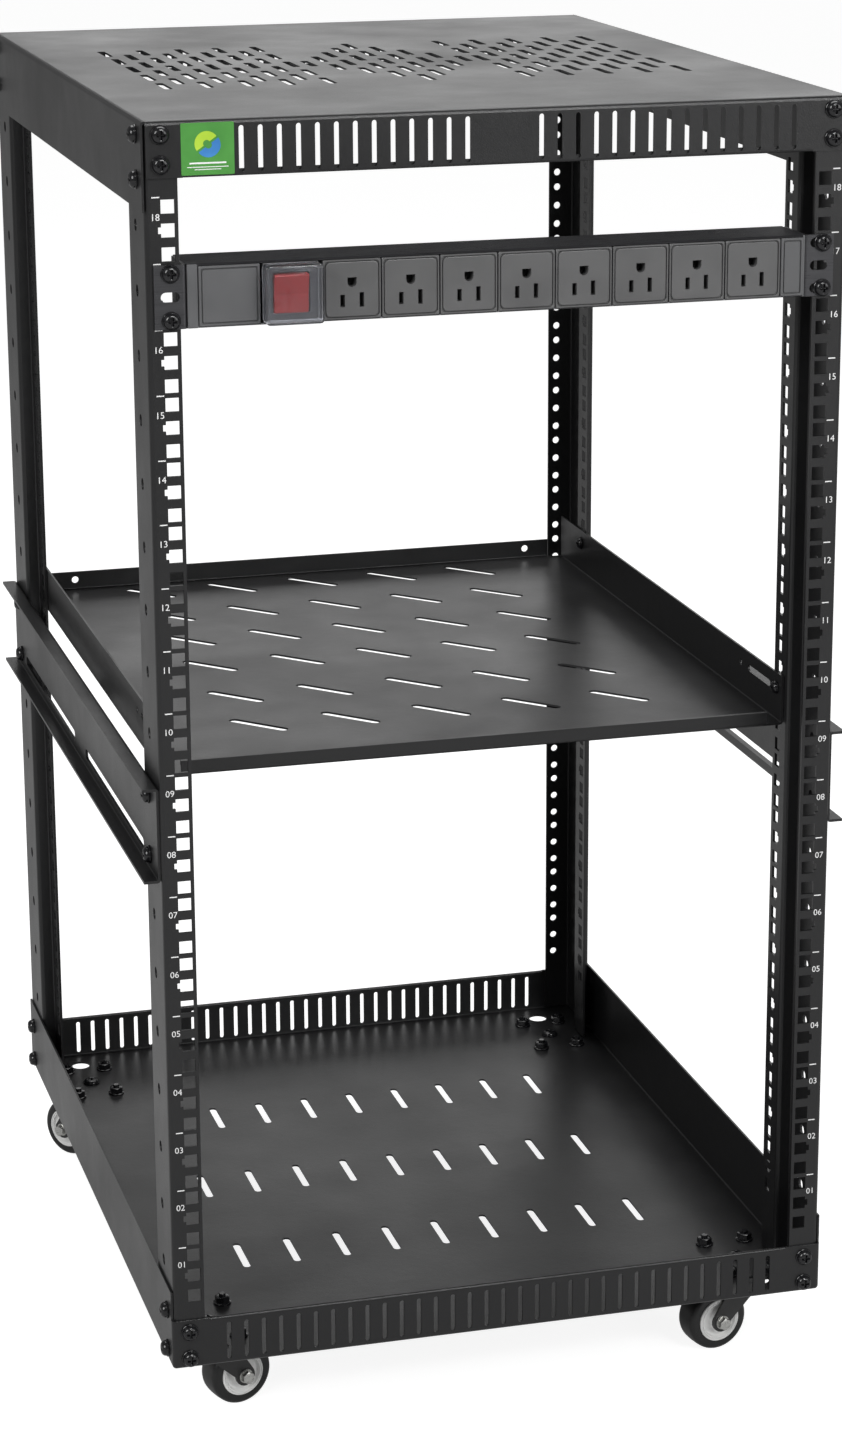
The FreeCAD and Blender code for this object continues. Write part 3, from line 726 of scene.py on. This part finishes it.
front_post, rear_post = post(True), to_rear(post(False))
for end, right_post in (("front", front_post), ("rear", rear_post)):
    for side, shape in (("right", right_post), ("left", mirrored(right_post, 0))):
        piece("%s_post_%s" % (end, side), shape, post_paint, "frame", ["post_%s_%s" % (end, side)])

# ---- shelf rails ----
rail_low, rail_high = corners("shelf_rail_right")


RAIL_SHEET = 2.0
RAIL_SLOT = (8.0, 235.0)
RAIL_ROWS = np.array([333.4, 377.8])        # heights of the two rows over the first unit's foot
RAIL_SLOTS_Y = FACE_Y + np.array([172.5, 454.5])


def shelf_rail():
    """Right rail: channel folded from one strip, with long slots in its web."""
    radius = 2.6
    width = rail_high[0] - rail_low[0] - radius
    height = rail_high[2] - rail_low[2]
    path = [(width, 0), bend(radius, -90), (height - 2 * radius, 0), bend(radius, -90), (width, 0)]
    web = path[0][0] + path[1][0] - radius
    places = [web + row + 1j * y for row in RAIL_ROWS + UNIT_Z - rail_low[2] for y in RAIL_SLOTS_Y]
    openings = slots(places, *RAIL_SLOT, steps=9)
    place, outward, along, faces = folded_strip(path, (rail_low[1], rail_high[1]), openings, RAIL_SHEET,
                                                rail_high[0] + 1j * rail_low[2], 180)
    place = place - outward
    return np.stack([place.real, along, place.imag], -1), faces


right_rail = shelf_rail()
piece("rail_right", right_rail, rail_paint, "frame", ["shelf_rail_right"])
piece("rail_left", mirrored(right_rail, 0), rail_paint, "frame", ["shelf_rail_left"])

# ---- bolts of the frame ----
FACE_BOLT_X = 237.0
FACE_BOLT_HEIGHTS = (841.4, 821.5, -21.8, -42.6)
SIDE_BOLT_HEIGHTS = (840.5, 810.5, -10.5, -41.0)
SIDE_BOLT_Y = 17.0
SHELF_BOLT = (74.5, 406.4)


def frame_bolts():
    """Cross-recess bolts that hold the pans, the rails and the shelf to the posts."""
    head, small_head = pan_head(), pan_head(9.0, 2.6)
    shapes = []
    for z in FACE_BOLT_HEIGHTS:
        for y, outwards in ((cover_low[1], -1), (cover_high[1], 1)):
            places = [(x, y, UNIT_Z + z) for x in (FACE_BOLT_X, -FACE_BOLT_X)]
            shapes.append(scattered(head, places, (0, outwards, 0)))
    rows = ((SIDE_BOLT_HEIGHTS, SIDE_BOLT_Y, HALF_W, 1, head),
            (RAIL_ROWS[::-1], WEB_HOLE_Y, POST_OUTER + RAIL_SHEET, 1, head),
            ((SHELF_BOLT[1],), SHELF_BOLT[0], shelf_high[0] - PAN_SHEET, -1, small_head))
    for side in (-1, 1):
        for heights, y_inset, x, outwards, shape in rows:
            places = [(side * x, y, UNIT_Z + z) for z in heights
                      for y in (FACE_Y + y_inset, REAR_Y - y_inset)]
            shapes.append(scattered(shape, places, (side * outwards, 0, 0)))
    return join(shapes)


piece("frame_bolts", frame_bolts(), bolt_black, "frame", (), 35)

# ---- printed numbers and ticks ----
PRINT_LIFT = 0.08
DIGIT_HEIGHT = 4.5
DIGIT_PLACE = (241.2, 31.0)     # across the rack, and up from the unit's foot
TICK_X = 240.7
TICK_HALF = (2.6, 0.4)
CAPITAL_SHARE = 0.69            # height of a digit in a font of size one


def lettering(text, centre):
    """Flat digits facing the front, made a mesh before their place is applied."""
    curve = bpy.data.curves.new("digits", "FONT")
    curve.body = text
    curve.align_x = "CENTER"
    curve.align_y = "CENTER"
    curve.size = DIGIT_HEIGHT / CAPITAL_SHARE
    curve.resolution_u = 3
    holder = bpy.data.objects.new("digits", curve)
    mesh = bpy.data.meshes.new_from_object(holder)
    points = np.array([v.co for v in mesh.vertices])
    faces = [np.array([list(p.vertices)]) for p in mesh.polygons]
    bpy.data.objects.remove(holder)
    bpy.data.meshes.remove(mesh)
    flat = np.stack([points[:, 0], np.full(len(points), -PRINT_LIFT), points[:, 1]], -1)
    return flat + np.array(centre), faces


def unit_marks():
    """Unit numbers from 01 at the bottom, and a tick at the top of each unit, on both front posts."""
    shapes = []
    for side in (-1, 1):
        for number in range(UNITS):
            z = UNIT_Z + number * UNIT
            place = (side * DIGIT_PLACE[0], FACE_Y, z + DIGIT_PLACE[1])
            shapes.append(lettering("%02d" % (number + 1), place))
            x, top = side * TICK_X, z + UNIT
            shapes.append(block((x - TICK_HALF[0], FACE_Y - PRINT_LIFT, top - TICK_HALF[1]),
                                (x + TICK_HALF[0], FACE_Y + 0.01, top + TICK_HALF[1])))
    return join(shapes)


piece("unit_marks", unit_marks(), white_print, "frame")

# ---- power strip ----
house_low, house_high = corners("pdu_housing")
STRIP_X = (house_low[0] + house_high[0]) / 2
STRIP_FRONT = house_low[1]
label_low, label_high = corners("pdu_label_plate")
end_low, end_high = corners("pdu_end_plate")
OUTLETS = range(1, 9)
OUTLET_NODE = "pdu_outlet_%d"
EAR_SLOT = (6.8, 13.0)
EAR_SLOT_X = 230.4
EAR_BOLT_X = 231.6
STRIP_UNIT = 16                 # units below the one that the strip fills


def ribbed_housing():
    """Extrusion: a channel whose top and bottom carry fine lengthwise ribs, each a half wave."""
    y0, y1 = house_low[1], house_high[1]
    z0, z1 = house_low[2], house_high[2]
    rib_depth, rib_pitch, corner, wall = 0.35, 3.6, 0.9, 1.4
    y = np.linspace(y0 + 1.2, y1 - 1.2, 121)
    wave = rib_depth * abs(np.sin((y - y[0]) * np.pi / rib_pitch))
    top = list(zip(y, z1 - rib_depth + wave))
    bottom = list(zip(y, z0 + rib_depth - wave))
    inner = [(y0 + 0.3, z0 + wall), (y1 - 1.6, z0 + wall), (y1 - 1.6, z1 - wall), (y0 + 0.3, z1 - wall)]
    loop = [(y0, z1 - corner)] + top + [(y1, z1 - corner), (y1, z0 + corner)] + bottom[::-1]
    return extruded(loop + [(y0, z0 + corner)] + inner, house_low[0], house_high[0], 0)


def ear(side):
    """Bent bracket with three obround slots, the middle one between the bolts."""
    low, high = corners("pdu_ear_right" if side > 0 else "pdu_ear_left")
    outer = high[0] if side > 0 else -low[0]
    inner = low[0] if side > 0 else -high[0]
    radius = 2.4
    path = [(outer - inner - radius, 0), bend(radius, 90), (high[1] - low[1] - radius, 0)]
    slot_x = outer - (STRIP_X * side + EAR_SLOT_X)
    openings = slots(slot_x + 1j * (UNIT_Z + STRIP_UNIT * UNIT + RISES), *EAR_SLOT, 0.0, 9)
    place, inward, height, faces = folded_strip(path, (low[2] + 0.2, high[2] - 0.2), openings, POST_SHEET)
    place = place + inward
    return np.stack([side * (outer - place.real), low[1] + place.imag, height], -1), faces


def seen_from_front(low, high):
    """Middle of a box at the strip's front, and its width and height."""
    middle = (low + high) / 2
    return (middle[0], STRIP_FRONT, middle[2]), (high[0] - low[0], high[2] - low[2])


def rings(centre, size, steps):
    """Nested rounded rectangles facing the front: each step is an inset, a corner radius and a height."""
    loops = []
    for inset, radius, height in steps:
        loop = rounded_rectangle((size[0] - 2 * inset, size[1] - 2 * inset), radius)
        loops.append(np.stack([centre[0] + loop.real, np.full(len(loop), centre[1] - height),
                               centre[2] + loop.imag], -1))
    return surface(np.array(loops), around=True)


def d_hole(centre, width, height, steps=9):
    """Opening with a round foot and a flat top."""
    angle = np.linspace(np.pi, 2 * np.pi, steps)
    foot = width / 2 * np.exp(1j * angle)
    top = height - width / 2
    return centre + np.concatenate([foot, [width / 2 + 1j * top, -width / 2 + 1j * top]])


def outlet(number):
    """Socket module: a raised rim, a groove with round corners and a flat face with a ground hole
    over two blade slots, the right one taller."""
    centre, size = seen_from_front(*corners(OUTLET_NODE % number))
    frame_ring = rings(centre, size, [(0, 1.0, -14), (0, 1.0, 0.1), (0.25, 1.2, 0.45), (0.95, 2.0, 0.5),
                                      (1.1, 2.3, 0.3), (1.2, 2.8, -1.0), (1.75, 3.3, -1.0), (1.85, 3.4, 0.2),
                                      (2.2, 3.5, 0.35)])
    face = rounded_rectangle((size[0] - 4.4, size[1] - 4.4), 3.5)
    holes = [d_hole(4.6j, 6.4, 6.6), rounded_rectangle((3.2, 8.4), 0.4, 3) - 6.7 - 7.8j,
             rounded_rectangle((3.2, 10.0), 0.4, 3) + 6.7 - 7.4j]
    flat, depth, faces = thickened(*punched(face, holes), 9.0)
    plate = np.stack([centre[0] + flat.real, STRIP_FRONT - 0.35 + depth, centre[2] + flat.imag], -1), faces
    return join([frame_ring, plate])


def socket_shade_blocks():
    """Near-black blocks behind the sockets' openings: painted shade for the dark inside of each socket."""
    shapes = []
    for number in OUTLETS:
        low, high = corners(OUTLET_NODE % number)
        shapes.append(block((low[0] + 4, STRIP_FRONT + 8, low[2] + 4),
                            (high[0] - 4, STRIP_FRONT + 12, high[2] - 4)))
    return join(shapes)


def framed_plate(low, high):
    """Plain plate with a raised border and a groove inside it."""
    centre, size = seen_from_front(low, high)
    steps = [(0, 0.6, -10), (0, 0.6, 0.1), (0.4, 0.8, 0.5), (1.5, 1.2, 0.5), (1.7, 1.4, -0.8),
             (2.4, 1.4, -0.8), (2.6, 1.2, 0.15), (6.0, 1.0, 0.15)]
    points, faces = rings(centre, size, steps)
    count = len(rounded_rectangle(size, 1.0))
    faces.append((len(steps) - 1) * count + np.arange(count)[None])
    return points, faces


piece("strip_housing", ribbed_housing(), anodised, "frame", ["pdu_housing"])
piece("strip_ear_right", ear(1), anodised, "frame", ["pdu_ear_right"])
piece("strip_ear_left", ear(-1), anodised, "frame", ["pdu_ear_left"])
for number in OUTLETS:
    piece("outlet_%d" % number, outlet(number), socket_black, "frame", [OUTLET_NODE % number])
# painted shade: near-black blocks behind the sockets' openings
piece("outlet_contacts", socket_shade_blocks(), socket_painted_shade, "frame")
piece("label_plate", framed_plate(label_low, label_high), plate_black, "frame", ["pdu_label_plate"])
piece("end_plate", framed_plate(end_low, end_high), plate_black, "frame", ["pdu_end_plate"])


def strip_bolts():
    """Two cross-recess bolts through each ear."""
    middle = STRIP_X * 0.3              # the strip stands a little off the rack's middle, its bolts less
    heights = UNIT_Z + STRIP_UNIT * UNIT + RISES[[2, 0]]
    places = [(side * EAR_BOLT_X + middle, STRIP_FRONT, z) for side in (-1, 1) for z in heights]
    return scattered(pan_head(11.4, 3.6), places, (0, -1, 0))


def end_caps():
    """End caps of the extrusion: an upright with broken edges on each side of the row of modules."""
    front, back = STRIP_FRONT - 0.3, STRIP_FRONT + 6.0
    low_z, high_z = house_low[2] + 0.3, house_high[2] - 0.3
    spans = [(house_low[0] + 0.2, label_low[0] - 0.6), (end_high[0] + 0.6, house_high[0] - 0.2)]
    return join([block((low, front, low_z), (high, back, high_z), 0.4) for low, high in spans])


piece("strip_bolts", strip_bolts(), bolt_black, "frame", (), 35)
piece("strip_end_caps", end_caps(), plate_black, "frame")

# ---- switch under its clear cover ----
bezel_low, bezel_high = corners("switch_bezel")
rocker_low, rocker_high = corners("switch_rocker")
clear_low, clear_high = corners("switch_cover")
joint_place = {joint["name"]: np.array(joint["pos_m"]) / MM for joint in frame["joints"]}
pivot = joint_place["switch_press"]
hinge = joint_place["switch_cover_hinge"]
ROCKER_REST = np.radians(7.0)   # lean of the key before it is pressed


def switch_bezel():
    """Nested rounded rectangles as a frame round the key, and a lug and a short pin at each end of the
    clear cover's hinge."""
    low_x, high_x = bezel_low[0], bezel_high[0]
    centre = ((low_x + high_x) / 2, STRIP_FRONT, (label_low[2] + label_high[2]) / 2)
    size = (high_x - low_x, label_high[2] - label_low[2])
    steps = [(0, 0.8, -14), (0, 0.8, 0.4), (0.5, 1.0, 0.8), (5.2, 2.0, 0.8), (5.4, 2.0, 1.4), (5.9, 2.0, 1.4),
             (6.2, 1.6, 0.9), (6.3, 1.4, -14)]
    inset, lug_wide, lug_half, pin_long = 0.8, 1.8, 1.6, 4.6
    along_x = [[0, 0, 1], [1, 0, 0], [0, 1, 0]]
    pin = lathe([(1.0, 0.0), (1.0, pin_long)], 16)
    shapes = [rings(centre, size, steps)]
    for lug_x, pin_x in ((low_x + inset, low_x + inset),
                         (high_x - inset - lug_wide, high_x - inset - pin_long)):
        shapes.append(block((lug_x, hinge[1] - lug_half, hinge[2] - lug_half),
                            (lug_x + lug_wide, STRIP_FRONT, hinge[2] + lug_half), 0.3))
        shapes.append(moved(pin, (pin_x, hinge[1], hinge[2]), along_x))
    return join(shapes)


def rocker():
    """Key in side view: a shallow V of two flats in front, narrowing to a short flat at the back; the
    outline is drawn in a little towards each side face."""
    front, tall, hub_y, hub_half = -8.4, 14.0, 3.5, 4.0
    upper = [(front + 1.0, 0.0), (front + 0.9, 1.0), (front - 0.5, tall - 1.2), (front - 0.1, tall - 0.5),
             (front + 0.6, tall), (front + 4.5, tall), (hub_y, hub_half)]
    outline = np.array(upper + [(y, -z) for y, z in upper[:0:-1]])
    middle = outline.mean(0)
    half = (rocker_high[0] - rocker_low[0]) / 2
    rows = []
    for x, shrink in ((-half, 0.955), (-half + 0.35, 0.985), (-half + 1.0, 1.0), (half - 1.0, 1.0),
                      (half - 0.35, 0.985), (half, 0.955)):
        loop = middle + (outline - middle) * shrink
        rows.append(np.stack([np.full(len(loop), x), loop[:, 0], loop[:, 1]], -1))
    c, s = np.cos(ROCKER_REST), np.sin(ROCKER_REST)
    return moved(capped(np.array(rows)), pivot, [[1, 0, 0], [0, c, -s], [0, s, c]])


def clear_cover():
    """Clear box open to the rear: nested rounded rectangles from its rear edge over its front and back
    inside, joined by a flat edge at the rear."""
    centre, size = seen_from_front(clear_low, clear_high)
    centre = (centre[0], clear_low[1], centre[2])
    deep = clear_high[1] - clear_low[1]
    outer = [(0, 3.0, -deep), (0, 3.0, -1.6), (0.12, 2.9, -0.9), (0.5, 2.6, -0.35), (1.1, 2.2, -0.05),
             (1.7, 2.0, 0)]
    inner = [(1.4, 1.8, -deep), (1.4, 1.8, -1.9), (1.7, 1.6, -1.5), (2.1, 1.4, -1.4)]
    skin, core = rings(centre, size, outer), rings(centre, size, inner)
    count = len(rounded_rectangle(size, 1.0))
    loop = np.arange(count)
    after, core_start = np.roll(loop, -1), len(outer) * count
    skin[1].append((len(outer) - 1) * count + loop[None])
    core[1].append((len(inner) - 1) * count + loop[None])
    points, faces = join([skin, core])
    return points, faces + [np.stack([loop, after, after + core_start, loop + core_start], 1)]


piece("bezel", switch_bezel(), plate_black, "frame", ["switch_bezel"])
piece("rocker_key", rocker(), rocker_red, "switch_rocker", ["switch_rocker"], 25)
piece("clear_flip_cover", clear_cover(), clear_plastic, "switch_cover", ["switch_cover"], 40)

# ---- casters ----
WHEEL_R = 25.0
WHEEL_STEPS = 64
BOLT_STEP = (16.5, 29.0)        # from the king pin to the mounting bolts


def on_axle(shape):
    """Takes the Z axis of a turned piece to the caster's axle, along Y."""
    points, faces = shape
    return points[:, [0, 2, 1]] * (1, 1, -1), faces


def fork_arm(trail):
    """Yoke cut from one strip and folded into an upside-down U: the pattern is a wide crown between
    two legs that taper to a round end about the axle."""
    half, sheet, fold, top, foot = 15.4, 2.2, 4.0, 58.2, 17.0
    leg = top - fold - foot
    path = [(leg, 0), bend(fold, -90), (2 * (half - fold), 0), bend(fold, -90), (leg, 0)]
    total = sum(length for length, _ in path)
    centre = total / 2
    eye = WHEEL_R - foot
    back = [(centre, 18.5), (centre - 8, 16.5), (centre - 13.5, 14.0), (leg - 2.0, 14.5)]
    side = [(leg - 4.0, -13.0), (centre - 13.5, -13.5), (centre - 7, -17.0), (centre, -18.5)]
    left = np.array([complex(x, y) for x, y in back + arc((eye, trail), 8.0, 60, 270, 12) + side])
    right = 2 * centre - left.conj()
    outline = np.concatenate([left, right[::-1][1:-1]])
    holes = rounds([eye + 1j * trail, total - eye + 1j * trail], 6.4) + rounds([centre], 9.0)
    flat, depth, faces = thickened(*punched(outline, holes, fold_lines(path, -12.0, 13.0, 4)), sheet)
    place, normal = folded(flat.real, path, -half + 1j * foot, 90)
    place = place - normal * depth
    return np.stack([flat.imag, place.real, place.imag], -1), faces


def caster_fork(trail):
    """Yoke with the lower race of its swivel."""
    race = [(5.0, 56.0), (16.5, 56.0), (18.5, 56.0), (18.3, 57.2), (17.5, 57.9), (5.0, 57.9)]
    return join([fork_arm(trail), lathe(race, 40)])


def caster_top():
    """Mounting plate with round corners and slots, raised race, and king pin with its nut."""
    x, y = BOLT_STEP
    holes = slots([-x + 1j * y, -x - 1j * y, x + 1j * y, x - 1j * y], 6.6, 9.0, steps=6)
    flat, depth, faces = thickened(*punched(rounded_rectangle((48, 74), 5.0), holes), 2.5)
    sheet = np.stack([flat.real, flat.imag, tray_low[2] - depth], -1), faces
    cup = lathe([(4.0, 58.7), (17.0, 58.7), (19.0, 59.4), (19.8, 61.2), (19.2, 63.0), (20.2, 64.2),
                 (21.5, 65.0)], 40)
    pin = lathe([(4.0, 50.9), (4.0, 60)], 24)
    nut = moved(hex_head(11.0, 4.0), (0, 0, 51.4))
    return join([sheet, cup, pin, nut])


def tyre():
    """Tread with round shoulders and a slight crown, as a ring outline."""
    half = 11.0
    crown = [(WHEEL_R - 0.25 * (y / 6.5) ** 2, y) for y in np.linspace(-6.5, 6.5, 7)]
    right = arc((WHEEL_R - 4.4, 6.9), 4.1, 0, 80, 6)[1:]
    left = [(r, -y) for r, y in right[::-1]]
    outline = [(16.6, -half + 0.6)] + left + crown + right + [(16.6, half - 0.6)]
    return on_axle(lathe_ring(outline, WHEEL_STEPS))


def rim():
    """Centre with a hub, a dish and a rolled edge that has one groove, the same on both sides."""
    half = [(3.05, 12.7), (6.4, 12.7), (7.0, 12.2), (7.2, 9.0), (8.2, 8.4), (12.6, 8.6), (13.4, 9.4),
            (13.8, 11.0), (14.3, 12.0), (14.9, 12.0), (15.1, 11.0), (15.5, 11.0), (15.7, 12.0),
            (16.3, 12.0), (17.0, 11.4), (17.1, 6.0)]
    outline = half + [(r, -y) for r, y in half[::-1]]
    return on_axle(lathe_ring(outline, WHEEL_STEPS))


def axle():
    """Shank through the wheel with a washer and a hexagon at each side."""
    shank = lathe([(3.0, -17.5), (3.0, 17.5)], 24)
    washer = lathe([(5.3, 15.4), (5.5, 15.6), (5.5, 16.3), (5.3, 16.5)], 32)
    head = moved(hex_head(8.5, 4.4), (0, 0, 16.5))
    side = join([washer, head])
    return on_axle(join([shank, side, mirrored(side, 2)]))


def turned(shape, heading, place):
    """Turned about the upright axis by the heading and carried to the place."""
    c, s = np.cos(heading), np.sin(heading)
    return moved(shape, place, [[c, -s, 0], [s, c, 0], [0, 0, 1]])


def flange_nut():
    """Hexagon nut on a round flange, with the end of its bolt standing out."""
    flange = lathe([(6.6, 0), (6.8, 0.3), (6.8, 1.0), (5.4, 1.7)], 32)
    end = lathe([(2.7, 4.0), (2.7, 7.6), (2.2, 8.1)], 20)
    return join([flange, moved(hex_head(10.0, 4.6), (0, 0, 1.2)), end])


wheel_tyre, wheel_rim, mount, bolt = tyre(), rim(), caster_top(), axle()
floor_z = tray_low[2] + PAN_SHEET
floor_nuts, king_nuts = [], []
for name in ("front_left", "front_right", "rear_left", "rear_right"):
    swivel = joint_place["caster_%s_swivel" % name]
    roll = joint_place["caster_%s_roll" % name]
    ahead = roll[:2] - swivel[:2]
    trail, heading = np.hypot(*ahead), np.arctan2(ahead[1], ahead[0])
    foot = (swivel[0], swivel[1], 0)
    hub = (roll[0], roll[1], WHEEL_R)
    fork_body, wheel_body = "caster_%s_swivel" % name, "caster_%s_wheel" % name
    for made, node, shape, finish, body, slot, smooth in (
            ("mount", "plate", moved(mount, foot), caster_black, "frame", "caster_black", 30),
            ("yoke", "fork", turned(caster_fork(trail), heading, foot), caster_black, fork_body,
             "caster_black", 30),
            ("bolt", "axle", turned(bolt, heading, hub), zinc, fork_body, "caster_zinc", 30),
            ("wheel_centre", "rim", turned(wheel_rim, heading, hub), rim_grey, wheel_body, "rim_grey", 30),
            ("tread", "tyre", turned(wheel_tyre, heading, hub), rubber, wheel_body, "tyre_rubber", 40)):
        piece("caster_%s_%s" % (name, made), shape, finish, body, ["caster_%s_%s" % (name, node)],
              smooth)
    floor_nuts += [(swivel[0] + x, swivel[1] + y, floor_z) for x in (-BOLT_STEP[0], BOLT_STEP[0])
                   for y in (-BOLT_STEP[1], BOLT_STEP[1])]
    king_nuts.append((swivel[0], swivel[1], floor_z))

fixings = [scattered(flange_nut(), floor_nuts, (0, 0, 1)),
           scattered(pan_head(13.0, 2.5), king_nuts, (0, 0, 1))]
piece("caster_fixings", join(fixings), bolt_black, "frame", (), 30)

# ---- green label on the cover's front lip ----

def film_print(name, dark, light):
    """Printed film: one ink that is slightly uneven, with a satin face."""
    film = Finish(name)
    film.link(film.tint(film.spread(film.noise(60.0), 0, 1), dark, light), film.shader.inputs["Base Color"])
    film.link(film.relief(film.noise(700.0), 0.00001), film.shader.inputs["Normal"])
    film.set(Roughness=0.35)
    return film.material


LABEL = (-205.0, cover_low[1], UNIT_Z + 831.2)
LABEL_SIZE = (36.0, 34.5)
LABEL_LIFT, INK_LIFT = 0.2, 0.3


def on_label(loop, lift):
    """Thin flat patch with the given outline on the label, facing the front."""
    flat, depth, faces = thickened(*punched(loop, []), 0.05)
    return np.stack([LABEL[0] + flat.real, LABEL[1] - lift + depth, LABEL[2] + flat.imag], -1), faces


def half_ring(centre, inner, outer, start, end):
    """Part of a ring between two angles in degrees."""
    points = arc(centre, outer, start, end, 17) + arc(centre, inner, end, start, 17)
    return np.array([complex(x, y) for x, y in points])


def label_bars():
    """Plain bars where small print would be."""
    rows = ((-9.4, 25.0, 1.1), (-12.0, 28.0, 0.5), (-13.6, 18.0, 0.5))
    bars = [rounded_rectangle((width, tall), tall / 2.5, 3) + 1j * z for z, width, tall in rows]
    return join([on_label(bar, INK_LIFT) for bar in bars])


piece("green_label", on_label(rounded_rectangle(LABEL_SIZE, 0.8), LABEL_LIFT),
      film_print("green_film", (0.05, 0.22, 0.035), (0.065, 0.27, 0.045)), "frame")
piece("green_label_upper_mark", on_label(half_ring((-0.6, 3.4), 2.4, 8.2, 35, 215), INK_LIFT),
      film_print("lime_ink", (0.34, 0.52, 0.03), (0.42, 0.6, 0.05)), "frame")
piece("green_label_lower_mark", on_label(half_ring((0.6, 2.4), 2.4, 8.2, 215, 395), INK_LIFT),
      film_print("blue_ink", (0.03, 0.16, 0.42), (0.05, 0.24, 0.55)), "frame")
piece("green_label_bars", label_bars(), white_print, "frame")

# ---- floor, light and camera ----

FLOOR_REACH = 12.0
FLOOR_GLOW = 0.17               # what light and gloss get from the floor and from the world; the camera
WORLD_GLOW = 0.22               # sees both as white


def seen_directly(tree):
    """One for rays from the camera and rays that have passed through something clear, zero for the rest."""
    rays = tree.nodes.new("ShaderNodeLightPath")
    higher = tree.nodes.new("ShaderNodeMath")
    higher.operation = "MAXIMUM"
    tree.links.new(rays.outputs["Is Camera Ray"], higher.inputs[0])
    tree.links.new(rays.outputs["Is Transmission Ray"], higher.inputs[1])
    return higher.outputs[0]


def floor():
    """Pale ground that shows white to the camera where no shadow falls."""
    points = np.array([(-1, -1, 0), (1, -1, 0), (1, 1, 0), (-1, 1, 0)], float) * FLOOR_REACH
    mesh = bpy.data.meshes.new("floor")
    mesh.from_pydata(points.tolist(), [], [(0, 1, 2, 3)])
    pale = Finish("floor_paint")
    pale.set(Base_Color=(0.4, 0.4, 0.4, 1), Roughness=0.9, Specular_IOR_Level=0.1,
             Emission_Color=(1, 1, 1, 1))
    glow = ranged(pale.tree, seen_directly(pale.tree), FLOOR_GLOW, 0.88)
    pale.link(glow, pale.shader.inputs["Emission Strength"])
    mesh.materials.append(pale.material)
    ground = bpy.data.objects.new("floor", mesh)
    bpy.context.scene.collection.objects.link(ground)


def lamp(name, place, target, size, power):
    """Soft rectangular lamp that looks at the target and is hidden from the camera."""
    data = bpy.data.lights.new(name, "AREA")
    data.shape = "RECTANGLE"
    data.size, data.size_y = size
    data.energy = power
    light = bpy.data.objects.new(name, data)
    light.location = place
    light.visible_camera = False
    light.rotation_euler = (Vector(target) - Vector(place)).to_track_quat("-Z", "Y").to_euler()
    bpy.context.scene.collection.objects.link(light)


def studio():
    """Even grey light all round; the camera sees it as white."""
    world = bpy.data.worlds.new("studio")
    bpy.context.scene.world = world
    world.use_nodes = True
    tree = world.node_tree
    back = tree.nodes["Background"]
    back.inputs["Color"].default_value = (1, 1, 1, 1)
    tree.links.new(ranged(tree, seen_directly(tree), WORLD_GLOW, 1.0), back.inputs["Strength"])


floor()
lamp("key", (-3.0, -2.4, 2.6), (0, 0, 0.5), (2.0, 2.0), 100)
lamp("fill", (2.2, -3.4, 1.6), (0, 0, 0.5), (2.0, 2.0), 38)
lamp("top", (0.4, 1.2, 3.2), (0, 0, 0.5), (2.5, 2.0), 50)
lamp("behind", (1.5, 3.6, 1.5), (0, 0, 0.6), (2.6, 1.2), 9.5)
lamp("glint_high", (0.9, -3.6, 2.6), (0, 0, 0.5), (0.45, 0.45), 30)
lamp("front_high", (0.4, -2.3, 3.1), (0, -0.3, 0.3), (1.4, 0.5), 34)
studio()


def camera():
    """Camera at the viewing angle: turned right of the depth axis, tipped down, with a trace of roll."""
    turn, tip, roll = 0.263955, 0.284210, -0.005519
    forward = np.array([np.sin(turn) * np.cos(tip), np.cos(turn) * np.cos(tip), -np.sin(tip)])
    right = np.cross(forward, (0, 0, 1))
    right /= np.linalg.norm(right)
    up = np.cross(right, forward)
    x = np.cos(roll) * right + np.sin(roll) * up
    y = np.cos(roll) * up - np.sin(roll) * right
    data = bpy.data.cameras.new("camera")
    data.sensor_fit = "VERTICAL"
    data.sensor_height = 36.0
    data.lens = 90.364
    view = bpy.data.objects.new("camera", data)
    place = np.array([-0.696664, -2.666879 + MIDDLE_Y * MM, 1.255687])
    matrix = np.eye(4)
    matrix[:3] = np.stack([x, y, -forward, place], 1)
    view.matrix_world = Matrix(matrix.tolist())
    bpy.context.scene.collection.objects.link(view)
    bpy.context.scene.camera = view


camera()
bpy.context.scene.view_settings.view_transform = "Standard"
